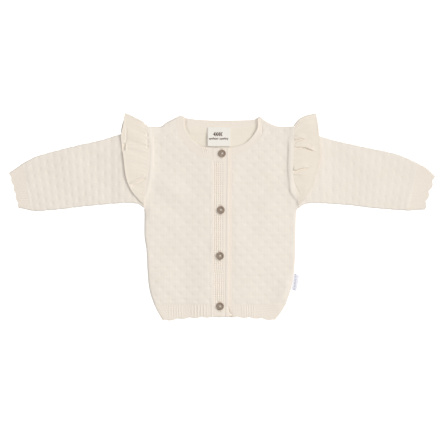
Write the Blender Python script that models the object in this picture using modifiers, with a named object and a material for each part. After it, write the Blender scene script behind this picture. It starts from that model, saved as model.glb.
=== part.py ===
"""A baby's buttoned cardigan of textured cotton knit, laid flat on its back with the arms out.

Each piece that a maker knits or cuts is a closed wall of its own. Lengths are in millimetres, and
+X is the wearer's left, +Y the neck, +Z up from the surface that the garment lies on. A table of
places has the columns x and y, and its smooth line is worked out from them.
"""

import math

import bmesh
import bpy
import numpy as np

MM = 0.001
CENTRE = (0.6, -0.5)  # the middle of the garment's box, which comes to the origin
SEAM = 0.3  # between pieces that are sewn together, and between layers

# Walls and layers, from the surface up.
KNIT = 2.0  # body panels, hem and button band
FRONT_LEVEL = KNIT + SEAM  # the underside of a front, on the back
BAND_LEVEL = FRONT_LEVEL + KNIT + SEAM  # the underside of the lapped band
LAP_LIFT = 2.0  # how far the right front climbs to the lapped band
LAP_CLIMB = (-62.0, 46.0)  # where it starts to climb, and over what width
ARM_LIFT = 1.5  # how far a front is lifted by the sleeve head
ARM_LIFT_REACH = 16.0  # how far in from the armhole
RUFFLE_WALL = 1.2
SLEEVE_WALL = 1.8
SLEEVE_SLIT = 0.6  # between the two layers of a flattened sleeve
SLEEVE_HEIGHT = 2 * SLEEVE_WALL + SLEEVE_SLIT
SLEEVE_LIFT = RUFFLE_WALL + SEAM  # the sleeve head lies on the ruffle's back half
SLEEVE_SETTLE = (150.0, 20.0)  # where the sleeve starts to settle on the surface, and over what length
RUFFLE_MIDDLE = SLEEVE_LIFT + SLEEVE_HEIGHT + SEAM + RUFFLE_WALL / 2

# Rolled seams and ribs.
SEAM_RIDGE = (1.3, 2.5, 2.5)  # the armhole's rolled seam: height, place inside the edge, half width
EDGE_ROLL = 3.0  # over this width a panel's outer edge rounds down
RIB_HEIGHT = 0.6
HEM_RIB = 4.0  # pitch of the hem's and cuffs' ribs
NECK_RIB = 4.0
NECK_RIB_HEIGHT = 0.4
FRONT_NECK_RUN = 99.0  # length of a front neckband
BACK_NECK_RUN = 126.0
CUFF_RUN = 54.0  # width of a flattened cuff

# Body: heights of the cross lines.
HEM_LINE = -132.0
HEM_EDGE = -150.0  # the hem's lower edge in the middle
HEM_DROOP = 5.0  # lower at HEM_HALF from the middle
HEM_HALF = 80.0
SCALLOP = (18.0, 6.0, 1.8)  # hem scallops: pitch, place of one notch, depth
PLACKET_X = {"right": -13.3, "left": 16.1}  # each front's edge at its band
BAND = {"left": -13.0, "right": 11.3, "top": 103.3, "foot": -151.0}
UNDER_BAND = {"left": -8.0, "right": 15.8, "top": 104.2, "foot": -149.5}
BAND_GROOVES = (1.9, 3.0, 5)  # the band's first rib groove, their pitch and number
EDGE_GROOVE = 19.3  # the groove by the band's open edge

# Each side's lines, as laid: the left one isn't quite the right one's mirror image.
SIDES = {
    "right": {
        "side": [(-101, -132), (-107, -114), (-110.3, -92), (-112.5, -51), (-115.5, -30),
                 (-115.5, 3), (-116.2, 14)],
        "armhole": [(-116.2, 14), (-115.2, 32), (-113.4, 48), (-110.4, 67), (-108.9, 85), (-108.6, 104),
                    (-109.8, 135)],
        "shoulder": [(-109.8, 135), (-91.5, 135), (-82.5, 141), (-73.5, 145.8), (-67.8, 148.5)],
        "neckline": [(-13.3, 86.3), (-30, 89.3), (-42, 96), (-53.3, 106.5), (-61, 120),
                     (-67.3, 133.5), (-67.8, 148.5)],
        "neck_edge": [(-13.3, 103.5), (-22, 104.1), (-31.5, 106.5), (-41.3, 113.3), (-48.2, 121.3),
                      (-54.4, 133.5), (-55, 149.5)],
        "hem_side": [(-101, -132), (-96.6, -141), (-92, -149), (-88.5, -154.4)],
        "sleeve_top": [(-110.6, 134.6), (-154.5, 122.7), (-181.5, 114.5), (-217.5, 106.5),
                       (-253.5, 97.3), (-280.5, 89.2), (-298.5, 79.5)],
        "sleeve_foot": [(-117.4, 13), (-127.5, 18.8), (-145, 20), (-199.5, 15.6), (-235.5, 11.3),
                        (-271.5, 8), (-284.4, 8.6)],
        "cuff_top": [(-298.5, 79.5), (-307.5, 73), (-318.9, 65.4)],
        "cuff_foot": [(-284.4, 8.6), (-294, 10.8), (-304.6, 13.2)],
        "cuff_edge": [(-304.6, 13.2), (-307.9, 24), (-311, 38), (-315, 52), (-318.9, 65.4)],
        "ruffle_fold": [(-110.8, 136.8), (-114.6, 138.6), (-118.5, 143), (-127.5, 147.6), (-136.5, 152.2),
                        (-145, 155.6)],
        "ruffle_edge": [(-120.5, 21.5), (-125.5, 26.5), (-134.5, 37.8), (-141.4, 51.6), (-145, 68),
                        (-147.5, 88.5), (-150, 108), (-151.4, 122), (-149.6, 134.3), (-145, 155.6)],
    },
    "left": {
        "side": [(96.4, -132), (102.6, -114), (107.2, -96), (109.9, -72), (111, -36), (111.6, -6),
                 (112.7, 9), (116.5, 13.5)],
        "armhole": [(116.5, 13.5), (113.3, 29.1), (110.3, 45.6), (107.5, 73), (108.4, 100.5),
                    (108.4, 135)],
        "shoulder": [(108.4, 135), (97.5, 135), (82.5, 135.5), (70.5, 141), (62, 145.8)],
        "neckline": [(16.1, 92.3), (32.7, 97.2), (43.6, 103.6), (54, 113.3), (60.6, 124.5),
                     (62.8, 135), (62, 145.8)],
        "neck_edge": [(16.1, 104.6), (23.6, 106.1), (33.5, 109.2), (43.5, 117), (51.5, 127.5),
                      (54.6, 136.2), (54, 148.6)],
        "hem_side": [(96.4, -132), (91, -141), (85.3, -149), (80, -154.6)],
        "sleeve_top": [(109, 134.6), (148.5, 120.2), (178.5, 112), (214.5, 104.2), (250.5, 96.7),
                       (272, 90.3), (294, 80.2)],
        "sleeve_foot": [(117.9, 12.6), (126, 18.4), (142.5, 19.8), (187.5, 17.3), (223.5, 13),
                        (259.5, 9.9), (280.5, 8.6)],
        "cuff_top": [(294, 80.2), (307, 73), (320.6, 60.5)],
        "cuff_foot": [(280.5, 8.6), (292.2, 9.6), (306.5, 10.4)],
        "cuff_edge": [(306.5, 10.4), (309, 22), (313, 36), (317.5, 48), (320.6, 60.5)],
        "ruffle_fold": [(109.2, 137.6), (115.5, 145.3), (124.5, 150.6), (133.5, 153.2), (142.2, 154.8)],
        "ruffle_edge": [(120.5, 22), (125.5, 27.5), (132, 37.5), (139.5, 54), (145.5, 72), (149, 90),
                        (148.5, 105), (146.7, 121.5), (145, 138), (142.2, 154.8)],
    },
}
CUFF_SCALLOPS = {"right": (13.0, 8.0, 1.6), "left": (16.0, 12.5, 3.0)}  # pitch, first notch, depth

# Soft folds of the fronts. Columns: from x, y, to x, y, half width, height.
FOLDS = [
    (-106, 62, -66, 34, 13, 1.1),
    (-108, 6, -72, -8, 11, 0.8),
    (106, 50, 68, 20, 13, 1.1),
    (100, -104, 84, -130, 9, 1.2),
    (60, -20, 34, -70, 16, 0.8),
]

# The gathers of a ruffle, from the underarm (0) to the shoulder fold (1).
# Columns: place at the seam, place at the free edge, share of the puff cut away, half width, reach.
CREASES = {
    "right": [(0.10, 0.12, 0.7, 0.030, 0.8), (0.22, 0.20, 0.9, 0.035, 1.0), (0.36, 0.27, 1.0, 0.035, 1.1),
              (0.50, 0.47, 0.7, 0.030, 0.8), (0.62, 0.61, 0.8, 0.030, 0.9), (0.73, 0.72, 1.0, 0.035, 1.2),
              (0.88, 0.86, 0.7, 0.035, 0.8)],
    "left": [(0.12, 0.14, 0.7, 0.030, 0.8), (0.27, 0.25, 0.8, 0.030, 0.9), (0.43, 0.46, 1.0, 0.035, 0.9),
             (0.57, 0.56, 0.7, 0.030, 0.7), (0.70, 0.67, 1.0, 0.035, 1.1), (0.80, 0.80, 1.0, 0.032, 0.9),
             (0.91, 0.90, 0.7, 0.030, 0.8)],
}
PUFF = (1.0, 14.0)  # how far the cloth stands up between two gathers, and how far in from the seam
# The free edge's flutes. Columns: place, half width, height.
FLUTES = {
    "right": [(0.16, 0.055, 0.5), (0.36, 0.06, 1.4), (0.56, 0.06, 1.4), (0.83, 0.085, 2.2)],
    "left": [(0.20, 0.06, 0.5), (0.38, 0.055, 0.6), (0.60, 0.06, 0.8), (0.86, 0.075, 1.2)],
}

# The back of the neck.
BACK_NECK_TOP = [(-66.8, 146.8), (-60, 148.6), (-49.5, 147), (-31.5, 145), (0, 144), (43.5, 144.8),
                 (54, 147.6), (61.2, 145.2)]
BACK_NECK_FOOT = [(-66.4, 135.2), (-31, 133.9), (0, 133.4), (43.5, 133.9), (61.4, 135.4)]

# Trim.
BUTTONS = [(0.8, 94.5, 12), (-0.9, 9.8, 40), (-2.1, -59.0, 25), (-2.1, -134.7, 60)]  # x, y, turn
# A button's half section, from the middle of its face down to the middle of its back: radius, height.
BUTTON_PROFILE = [(0, 1.9), (3.4, 1.9), (3.95, 2.4), (4.9, 2.6), (5.6, 2.1), (5.75, 1.4), (5.0, 0.4),
                  (3.4, 0), (0, 0)]
BUTTON_HOLE = (0.75, 1.45)  # hole radius, and how far its middle is from the button's
LABEL = {"left": -20.9, "right": 13.4, "top": 133.8, "foot": 105.3, "wall": 1.0}
LABEL_BOW = (2.4, 0.5)  # how far its loose end stands off the back, at its right and left sides
TAG = {"from_y": -85.2, "to_y": -109.5, "out": (7.4, -3.2), "wall": 1.0}

CREAM, RUFFLE_CREAM, RIB_CREAM = (0.84, 0.78, 0.69), (0.82, 0.75, 0.65), (0.81, 0.74, 0.65)
WHITE_TAPE, COCONUT = (0.90, 0.89, 0.87), (0.17, 0.10, 0.06)


def smooth(x):
    """0 below 0, 1 above 1, and an even S between them."""
    x = np.clip(x, 0, 1)
    return x * x * (3 - 2 * x)


def through(table, places):
    """The points at these shares of the length of a smooth line through a table's places."""
    p = np.array(table, float)
    before, after = 2 * p[0] - p[1], 2 * p[-1] - p[-2]
    a, b, c, d = (np.vstack([before, p, after])[k:len(p) - 1 + k] for k in range(4))
    t = np.linspace(0, 1, 24, endpoint=False)[None, :, None]
    a, b, c, d = (q[:, None] for q in (a, b, c, d))
    line = b + 0.5 * t * (c - a + t * (2 * a - 5 * b + 4 * c - d + t * (3 * (b - c) + d - a)))
    line = np.vstack([line.reshape(-1, 2), p[-1:]])
    run = np.r_[0, np.cumsum(np.linalg.norm(np.diff(line, axis=0), axis=1))]
    at = np.asarray(places) * run[-1]
    return np.column_stack([np.interp(at, run, line[:, k]) for k in range(2)])


def beside(line, distance):
    """A line moved to its left by a distance."""
    along = np.gradient(line, axis=0)
    along /= np.linalg.norm(along, axis=1)[:, None]
    return line + distance * np.column_stack([-along[:, 1], along[:, 0]])


def away(xy, line):
    """How far each place is from a line."""
    step = np.diff(line, axis=0)
    whole = np.linalg.norm(step, axis=1) > 0
    a, step = line[:-1][whole], step[whole]
    to = xy[..., None, :] - a
    share = np.clip((to * step).sum(-1) / (step * step).sum(-1), 0, 1)
    return np.linalg.norm(to - share[..., None] * step, axis=-1).min(-1)


def patch(foot, top, left, right):
    """A grid of places that fits four lines, as a cloth panel fits its four seams."""
    def shares(one, other):
        runs = [np.r_[0, np.cumsum(np.linalg.norm(np.diff(q, axis=0), axis=1))] for q in (one, other)]
        return sum(run / run[-1] for run in runs) / 2

    u, v = shares(foot, top)[None, :, None], shares(left, right)[:, None, None]
    grid = (1 - v) * foot[None] + v * top[None] + (1 - u) * left[:, None] + u * right[:, None]
    corners = (1 - u) * (1 - v) * foot[0] + u * (1 - v) * foot[-1] + (1 - u) * v * top[0] + u * v * top[-1]
    return grid - corners


def raised(xy, height):
    """Places with a height each."""
    return np.concatenate([xy, np.broadcast_to(height, xy.shape[:-1])[..., None]], axis=-1)


def new_object(name, mesh, collection, place=(0, 0, 0)):
    """An object in a collection, at a place in millimetres."""
    piece = bpy.data.objects.new(name, mesh)
    piece.location = [MM * k for k in place]
    collection.objects.link(piece)
    return piece


def finish(name, colour, roughness):
    """A piece's own material."""
    look = bpy.data.materials.new(name + " finish")
    look.use_nodes = True
    shader = look.node_tree.nodes["Principled BSDF"]
    shader.inputs["Base Color"].default_value = (*colour, 1)
    shader.inputs["Roughness"].default_value = roughness
    shader.inputs["Metallic"].default_value = 0
    return look


def cloth(name, points, faces, colour):
    """One piece of cloth, with its origin in its middle, hung on the garment's empty."""
    points = np.asarray(points, float) - (*CENTRE, 0)
    middle = (points.min(0) + points.max(0)) / 2
    mesh = bpy.data.meshes.new(name)
    mesh.from_pydata(((points - middle) * MM).tolist(), [], faces)
    form = bmesh.new()
    form.from_mesh(mesh)
    bmesh.ops.recalc_face_normals(form, faces=form.faces)
    form.to_mesh(mesh)
    form.free()
    mesh.shade_smooth()
    mesh.set_sharp_from_angle(angle=math.radians(35))
    mesh.materials.append(finish(name, colour, 0.92))
    piece = new_object(name, mesh, garment, middle)
    piece.parent = laid
    return piece


def quads(index):
    """The faces of a grid of point numbers."""
    return np.stack([index[:-1, :-1], index[:-1, 1:], index[1:, 1:], index[1:, :-1]], -1).reshape(-1, 4)


def wall(name, under, over, colour):
    """A closed wall between an under and an over grid of the same shape."""
    rows, columns = under.shape[:2]
    low = np.arange(rows * columns).reshape(rows, columns)
    high = low + rows * columns
    rim = [np.r_[low[0], low[1:, -1], low[-1, -2::-1], low[-2::-1, 0]]]
    rim.append(rim[0] + rows * columns)
    faces = np.vstack([quads(low)[:, ::-1], quads(high), quads(np.array(rim))])
    return cloth(name, np.vstack([under.reshape(-1, 3), over.reshape(-1, 3)]), faces.tolist(), colour)


def tube(name, outer, inner, colour):
    """An open tube with a wall, from rings of outer points and rings of inner points."""
    rings, around = outer.shape[:2]
    index = np.arange(rings * around).reshape(rings, around)
    out = np.column_stack([index, index[:, 0]])
    within = out + rings * around
    ends = [quads(np.array([out[k], within[k]])) for k in (0, -1)]
    faces = np.vstack([quads(out), quads(within)[:, ::-1], *ends])
    return cloth(name, np.vstack([outer.reshape(-1, 3), inner.reshape(-1, 3)]), faces.tolist(), colour)


def edge_drop(distance):
    """How much of a wall is lost where its outer edge rounds off, from the distance to that edge."""
    t = np.clip(distance / EDGE_ROLL, 0, 1)
    return 1 - np.sqrt(1 - (1 - t) ** 2)


def front_level(side, xy):
    """The height of a front's underside: on the back, and up to the lapped band and the sleeve."""
    x, y = xy[..., 0], xy[..., 1]
    start, width = LAP_CLIMB
    climb = LAP_LIFT * smooth((x - start) / width) if side == "right" else 0
    armhole = through(SIDES[side]["armhole"], np.linspace(0, 1, 40))
    above_underarm = smooth((y - 12) / 24)
    lift = ARM_LIFT * smooth(1 - away(xy, armhole) / ARM_LIFT_REACH) * above_underarm
    return FRONT_LEVEL + climb + lift


def soft_folds(xy):
    """The height that the soft folds add."""
    height = np.zeros(xy.shape[:-1])
    for x0, y0, x1, y1, half, rise in FOLDS:
        ends = np.array([(x0, y0), (x1, y1)], float)
        height += rise * np.exp(-((away(xy, ends) / half) ** 2))
    return height


def panel_lines(side):
    """A front's four seams: hem line, shoulder, outer edge and inner edge, from the hem up."""
    lines = SIDES[side]
    neck_base = 0.22  # share of the armhole that lies below the foot of the neckline
    below = np.linspace(0, neck_base, 3)
    above = np.r_[np.linspace(neck_base, 0.93, 11), 0.965, 0.99, 1]
    outer = np.vstack([through(lines["side"], np.linspace(0, 1, 7))[:-1],
                       through(lines["armhole"], np.r_[below[:-1], above])])
    neck_places = (above - neck_base) / (1 - neck_base)
    turn = 0.2 if side == "right" else -0.2
    neck = beside(through(lines["neckline"], neck_places), turn)
    placket = np.linspace((neck[0, 0], HEM_LINE), neck[0], len(outer) - len(neck) + 1)
    inner = np.vstack([placket[:-1], neck])
    across = np.r_[0, 1.2, 2.5, 3.8, 6, np.linspace(16, 90, 7)] / 90
    foot = outer[0] + across[:, None] * (inner[0] - outer[0])
    shoulder = through([*lines["shoulder"][:-1], tuple(neck[-1])], across)
    return foot + (0, SEAM / 2), shoulder, outer, inner


def front(side):
    """A front: textured knit, with the armhole's rolled seam and its outer edges rounded."""
    foot, shoulder, outer, inner = panel_lines(side)
    outer[0], inner[0] = foot[0], foot[-1]
    xy = patch(foot, shoulder, outer, inner)
    level = front_level(side, xy)
    armhole = through(SIDES[side]["armhole"], np.linspace(0, 1, 40))
    height, place, half = SEAM_RIDGE
    off = np.clip((away(xy, armhole) - place) / half, -1, 1)
    ridge = height * np.cos(off * math.pi / 2) ** 2
    roll = edge_drop(np.minimum(away(xy, outer[:7]), away(xy, shoulder)))
    folds = soft_folds(xy) * smooth(away(xy, np.vstack([outer, shoulder, inner[::-1]])) / 9)
    top = level + folds + ridge + KNIT * (1 - 0.75 * roll)
    return wall("front_" + side, raised(xy, level + folds), raised(xy, top), CREAM)


def back():
    """One panel from side to side, flat on the surface, with its lower edges rounded off."""
    right, left = (panel_lines(side)[2] for side in ("right", "left"))
    foot_y = HEM_LINE + SEAM / 2
    right[0, 1] = left[0, 1] = foot_y
    gap = np.array([(0, SEAM)])
    neck = through(BACK_NECK_FOOT, np.linspace(0, 1, 9)) - gap
    near = np.array([0, 0.04, 0.1, 0.5])
    top = np.vstack([through(SIDES["right"]["shoulder"], near), (-67.8, 148.0), neck,
                     (62.2, 145.2), through(SIDES["left"]["shoulder"], near)[::-1]])
    neck_first, neck_last = len(near) + 1, len(near) + len(neck)
    top[neck_first, 0] -= SEAM
    top[neck_last, 0] += SEAM
    along = np.r_[0, np.cumsum(np.abs(np.diff(top[:, 0])))]
    foot = right[0] + (along / along[-1])[:, None] * (left[0] - right[0])
    xy = patch(foot, top, right, left)
    sides = np.minimum(away(xy, right), away(xy, left))
    shoulders = [through(SIDES[side]["shoulder"], np.linspace(0, 1, 20)) for side in SIDES]
    edge = np.minimum(sides, np.minimum(*(away(xy, line) for line in shoulders)))
    wall("back_panel", raised(xy, 0.5 * KNIT * edge_drop(edge)), raised(xy, KNIT), CREAM)


def hem_edge(x):
    """The scalloped lower edge: it droops towards the sides and has a notch between two lobes."""
    pitch, notch, depth = SCALLOP
    droop = HEM_DROOP * (np.minimum(np.abs(x), HEM_HALF) / HEM_HALF) ** 2.5
    return HEM_EDGE - droop - depth * np.abs(np.sin(math.pi * (x - notch) / pitch))


def ribs(run, pitch):
    """0 in a groove and 1 on a rib, for points half a pitch apart along a run."""
    count = 2 * max(1, round(run / pitch))
    return count, np.arange(count + 1) % 2


def hem_front(side):
    """Ribs run down the hem. The outer points are raised, and the inside is plain."""
    lines = SIDES[side]
    corner, end = np.array(lines["hem_side"][0]), PLACKET_X[side]
    count, rib = ribs(abs(corner[0] - end), HEM_RIB)
    share = np.linspace(0, 1, count + 1)
    seam = np.full(count + 1, HEM_LINE - SEAM / 2)
    top = np.column_stack([corner[0] + share * (end - corner[0]), seam])
    down = np.array([0, 0.12, 0.85, 1])
    outer = through(lines["hem_side"], down)
    outer[0] = top[0]
    x = outer[-1, 0] + share * (end - outer[-1, 0])
    foot = np.column_stack([x, hem_edge(x)])
    foot[0] = outer[-1]
    inner = np.linspace(top[-1], foot[-1], 4)
    xy = patch(top, foot, outer, inner)
    level = front_level(side, xy) + soft_folds(xy) * smooth((xy[..., 1] - HEM_EDGE) / 15)
    swell = RIB_HEIGHT * rib[None] * np.array([0.3, 1, 1, 0.5])[:, None]
    roll = edge_drop(np.minimum(away(xy, outer), away(xy, foot) + 1.0))
    top_face = level + (KNIT - 0.1) * (1 - 0.7 * roll) + swell * (1 - roll)
    wall("hem_" + side, raised(xy, level), raised(xy, top_face), RIB_CREAM)


def hem_back():
    """The back's hem: plain, because one side lies on the surface and the other is hidden."""
    inset = 0.4
    right, left = (np.array(SIDES[side]["hem_side"], float) for side in ("right", "left"))
    right[:, 0] += inset
    left[:, 0] -= inset
    share = np.linspace(0, 1, 37)
    foot_x = right[-1, 0] + share * (left[-1, 0] - right[-1, 0])
    foot = np.column_stack([foot_x, hem_edge(foot_x) + inset])
    right[-1], left[-1] = foot[0], foot[-1]
    top_x = right[0, 0] + share * (left[0, 0] - right[0, 0])
    top = np.column_stack([top_x, np.full(len(share), HEM_LINE - SEAM / 2)])
    down = np.array([0, 0.5, 1])
    sides = [through(line, down) for line in (right, left)]
    sides[0][0], sides[1][0] = top[0], top[-1]
    xy = patch(top, foot, *sides)
    edge = np.minimum(away(xy, foot), np.minimum(away(xy, sides[0]), away(xy, sides[1])))
    wall("hem_back", raised(xy, 0.5 * KNIT * edge_drop(edge)), raised(xy, KNIT), RIB_CREAM)


def neckband_front(side):
    """A ribbed band from the shoulder fold round the front neckline to the placket."""
    lines = SIDES[side]
    count, rib = ribs(FRONT_NECK_RUN, NECK_RIB)
    share = np.linspace(0, 1, count + 1)
    turn = -0.3 if side == "right" else 0.3
    outer = beside(through(lines["neckline"], share), turn)[::-1]
    inner = through(lines["neck_edge"], share)[::-1]
    outer[-1, 0] = inner[-1, 0] = lines["neckline"][0][0]
    across = np.array([0, 0.15, 0.85, 1])[:, None, None]
    xy = (1 - across) * inner + across * outer
    run = share * FRONT_NECK_RUN
    fold = np.exp(-((run / 4) ** 2)) * np.sin(math.pi * across[..., 0])
    xy[..., 1] += 2.2 * fold
    level = front_level(side, xy)
    rounding = edge_drop(run)[None]
    swell = NECK_RIB_HEIGHT * rib[None] * np.array([0.2, 1, 1, 0.2])[:, None]
    body = np.array([1.3, 1.9, 1.9, 1.4])[:, None]
    top = level + (body + swell) * (1 - 0.6 * rounding)
    wall("neckband_" + side, raised(xy, level), raised(xy, top), RIB_CREAM)


def neckband_back():
    """The band behind the neck, whose inside shows, between the two shoulder folds."""
    count, rib = ribs(BACK_NECK_RUN, NECK_RIB)
    share = np.linspace(0, 1, count + 1)
    top, foot = through(BACK_NECK_TOP, share), through(BACK_NECK_FOOT, share)
    across = np.array([0, 0.15, 0.85, 1])[:, None, None]
    xy = (1 - across) * foot + across * top
    hidden = smooth((np.abs(xy[..., 0] + 1) - 50) / 6)
    swell = NECK_RIB_HEIGHT * rib[None] * np.array([0.2, 1, 1, 0.2])[:, None] * (1 - hidden)
    body = np.array([1.3, 1.55, 1.55, 1.2])[:, None]
    under = 0.5 * edge_drop(away(xy, top))
    wall("neckband_back", raised(xy, under), raised(xy, body + swell), RIB_CREAM)


def flat_ring(foot, top, level, half, wall_thickness, over, below):
    """One ring of a flattened tube, from its foot edge over its upper side and back under.

    The section is a slot with round ends: half is half its height, and wall_thickness is how far
    this ring lies inside the outer one. It returns the places' shares across and their heights.
    """
    width = np.linalg.norm(top - foot)
    ends = np.radians([60, 0, -60])
    first, last = wall_thickness + half, width - wall_thickness - half
    across = np.r_[np.linspace(first, last, over), last + half * np.cos(ends),
                   np.linspace(last, first, below), first + half * np.cos(ends + math.pi)]
    rise = np.r_[np.full(over, half), half * np.sin(ends),
                 np.full(below, -half), half * np.sin(ends + math.pi)]
    return across / width, level + SLEEVE_HEIGHT / 2 + rise


def sleeve_rings(foot, top, levels, wall_thickness, over, below):
    """The rings between a foot line and a top line, as (rings, places, 3), and their shares across."""
    half = SLEEVE_HEIGHT / 2 - wall_thickness
    rings, shares = [], []
    for a, b, level in zip(foot, top, levels):
        share, height = flat_ring(a, b, level, half, wall_thickness, over, below)
        rings.append(np.column_stack([a + share[:, None] * (b - a), height]))
        shares.append(share)
    return np.array(rings), np.array(shares)


def sleeve(side):
    """A flattened tube from the armhole to the cuff. Its head is lifted by the ruffle's back half."""
    lines = SIDES[side]
    out = -1 if side == "right" else 1
    down = np.r_[0, 0.04, 0.09, 0.15, 0.21, 0.27, np.linspace(0.36, 1, 7)]
    foot, top = through(lines["sleeve_foot"], down), through(lines["sleeve_top"], down)
    foot[-1, 0] -= out * SEAM / 2
    top[-1, 0] -= out * SEAM / 2
    start, length = SLEEVE_SETTLE
    levels = SLEEVE_LIFT * (1 - smooth((np.abs(foot[:, 0]) - start) / length))
    armhole = through(lines["armhole"], np.linspace(0, 1, 60))
    shells = []
    for inside in (0, SLEEVE_WALL):
        rings, shares = sleeve_rings(foot, top, levels, inside, 8, 4)
        head = np.interp(rings[0, :, 1], armhole[:, 1], armhole[:, 0]) + out * 0.8
        bulge = np.interp(shares, shares[0, :8], (head - rings[0, :, 0])[:8])
        bulge[0] = head - rings[0, :, 0]
        rings[..., 0] += bulge * (1 - smooth(down / 0.21))[:, None]
        shells.append(rings)
    tube("sleeve_" + side, *shells, CREAM)


def cuff(side):
    """A ribbed band at the wrist, whose edge is scalloped. Ribs are raised on its upper side."""
    lines = SIDES[side]
    out = -1 if side == "right" else 1
    down = np.array([0, 0.15, 0.85, 1])
    foot, top = through(lines["cuff_foot"], down), through(lines["cuff_top"], down)
    foot[0, 0] += out * SEAM / 2
    top[0, 0] += out * SEAM / 2
    count, rib = ribs(CUFF_RUN, HEM_RIB)
    over = count + 1
    edge = through(lines["cuff_edge"], np.linspace(0, 1, 40))
    pitch, notch, depth = CUFF_SCALLOPS[side]
    shells = []
    for inside in (0, SLEEVE_WALL):
        rings, shares = sleeve_rings(foot, top, np.zeros(4), inside, over, 4)
        last = rings[-1]
        span = np.interp(last[:, 1], edge[:, 1], edge[:, 0]) - last[:, 0]
        from_foot = shares[-1] * np.linalg.norm(top[-1] - foot[-1])
        scallop = out * depth * (np.abs(np.sin(math.pi * (from_foot - notch) / pitch)) - 1)
        rings[..., 0] += (span + scallop) * (down ** 2)[:, None]
        if not inside:
            swell = RIB_HEIGHT * rib * np.minimum(1, 4 * np.sin(math.pi * np.linspace(0, 1, over)))
            rings[:, :over, 2] += swell * np.array([0.3, 1, 1, 0.4])[:, None]
        shells.append(rings)
    tube("cuff_" + side, *shells, RIB_CREAM)


def ruffle_waves(side, s, t, from_seam):
    """How far the gathered strip stands up: puffs between creases, and flutes at its free edge."""
    rise, reach = PUFF
    puff = rise * np.minimum(from_seam / reach, 1) * (1 - 0.85 * smooth((t - 0.55) / 0.45))
    for at_seam, at_edge, share, half, reach in CREASES[side]:
        line = at_seam + (at_edge - at_seam) * t
        puff = puff * (1 - share * np.exp(-(((s - line) / half) ** 2)) * smooth(1.6 * (reach - t) + 0.3))
    for place, half, height in FLUTES[side]:
        puff = puff + height * t ** 2 * np.exp(-(((s - place) / half) ** 2))
    return puff


def ruffle(side):
    """A strip from the front underarm over the shoulder fold to the back underarm, in one sheet.

    Its front half lies over the sleeve, in waves, and its back half flat under it. The two meet in
    a round fold, which is as high as the sleeve at the seam and closes towards the free corner.
    """
    lines = SIDES[side]
    out = -1 if side == "right" else 1
    t = np.array([0, 0.12, 0.3, 0.5, 0.7, 0.87, 1])
    s = np.linspace(0, 1, 27)
    fold = through(lines["ruffle_fold"], t)
    half_wall = RUFFLE_WALL / 2
    radius = (1 - t) * (RUFFLE_MIDDLE - half_wall) / 2 + t * 1.15
    middle = fold - np.column_stack([np.zeros(len(t)), radius + half_wall])
    seam = through(lines["armhole"], np.linspace(0.03, 1, len(s))) + (out * 0.9, 0)
    seam[-1] = middle[0]
    edge_table = [*lines["ruffle_edge"][:-1], tuple(middle[-1])]
    edge = through(edge_table, s)
    inner_end = seam[0] + t[:, None] * (edge[0] - seam[0])
    xy = patch(inner_end, middle, seam, edge)
    steps = np.linalg.norm(np.diff(xy, axis=0), axis=2)
    from_fold = np.vstack([np.cumsum(steps[::-1], axis=0)[::-1], np.zeros(len(t))])
    fold_top = half_wall + 2 * radius
    climb = smooth(from_fold / (2 + 15 * t))
    from_seam = np.linalg.norm(xy - xy[:, :1], axis=2)
    lift = ruffle_waves(side, s[:, None], t[None], from_seam) * smooth(from_fold / 9)
    upper = raised(xy, fold_top + (RUFFLE_MIDDLE - fold_top) * climb + lift)
    turn = np.radians([60, 25, -25, -60])[:, None]
    bend = np.stack([np.broadcast_to(middle[:, 0], (4, len(t))), middle[:, 1] + radius * np.cos(turn),
                     half_wall + radius * (1 + np.sin(turn))], axis=-1)
    lower = raised(xy[[26, 24, 21, 17, 12, 6, 0]], half_wall)
    inset = np.r_[0, 0.02, 0.04, 0.06, 0.08, 0.1, 0.1][:, None] * t
    lower[..., :2] -= inset[..., None] * (lower[..., :2] - lower[:, :1, :2])
    sheet = np.vstack([upper, bend, lower])
    down = np.gradient(sheet, axis=0)
    across = np.gradient(sheet, axis=1)
    normal = np.cross(across, down)
    normal /= np.linalg.norm(normal, axis=2)[..., None]
    normal[-len(lower) + 1:] = (0, 0, np.sign(normal[-1, 3, 2]))
    wall("ruffle_" + side, sheet - half_wall * normal, sheet + half_wall * normal, RUFFLE_CREAM)


def band(name, place, level, grooves, colour):
    """A straight band down the front, with rib grooves along it, rounded at its edges."""
    width = place["right"] - place["left"]
    columns = [0.0, 0.9, *grooves, width - 0.8, width]
    down = np.r_[place["top"], place["top"] - 1.2, np.linspace(place["top"] - 14, place["foot"] + 8, 9),
                 place["foot"] + 1.2, place["foot"]]
    x, y = np.meshgrid(place["left"] + np.array(columns), down)
    height = np.full(len(columns), KNIT)
    height[[0, -1]] = 1.2
    cut = np.isin(columns, grooves[1::2])
    height = np.where(cut, KNIT - 0.6, height)
    ends = np.minimum(np.abs(y - place["top"]), np.abs(y - place["foot"]))
    xy = np.stack([x, y], -1)
    top = level + height * (1 - 0.35 * (ends < 0.5))
    wall(name, raised(xy, level), raised(xy, top), colour)


def bands():
    """The buttonhole band with its lengthwise ribs, and the button band under it."""
    first, pitch, count = BAND_GROOVES
    ribbed = [first - 0.7]
    for k in range(count):
        ribbed += [first + k * pitch, first + (k + 0.5) * pitch]
    ribbed += [EDGE_GROOVE, EDGE_GROOVE + 1.3]
    band("band_buttonhole", BAND, BAND_LEVEL, ribbed, RIB_CREAM)
    band("band_button", UNDER_BAND, FRONT_LEVEL, [12.0], RIB_CREAM)


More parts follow.
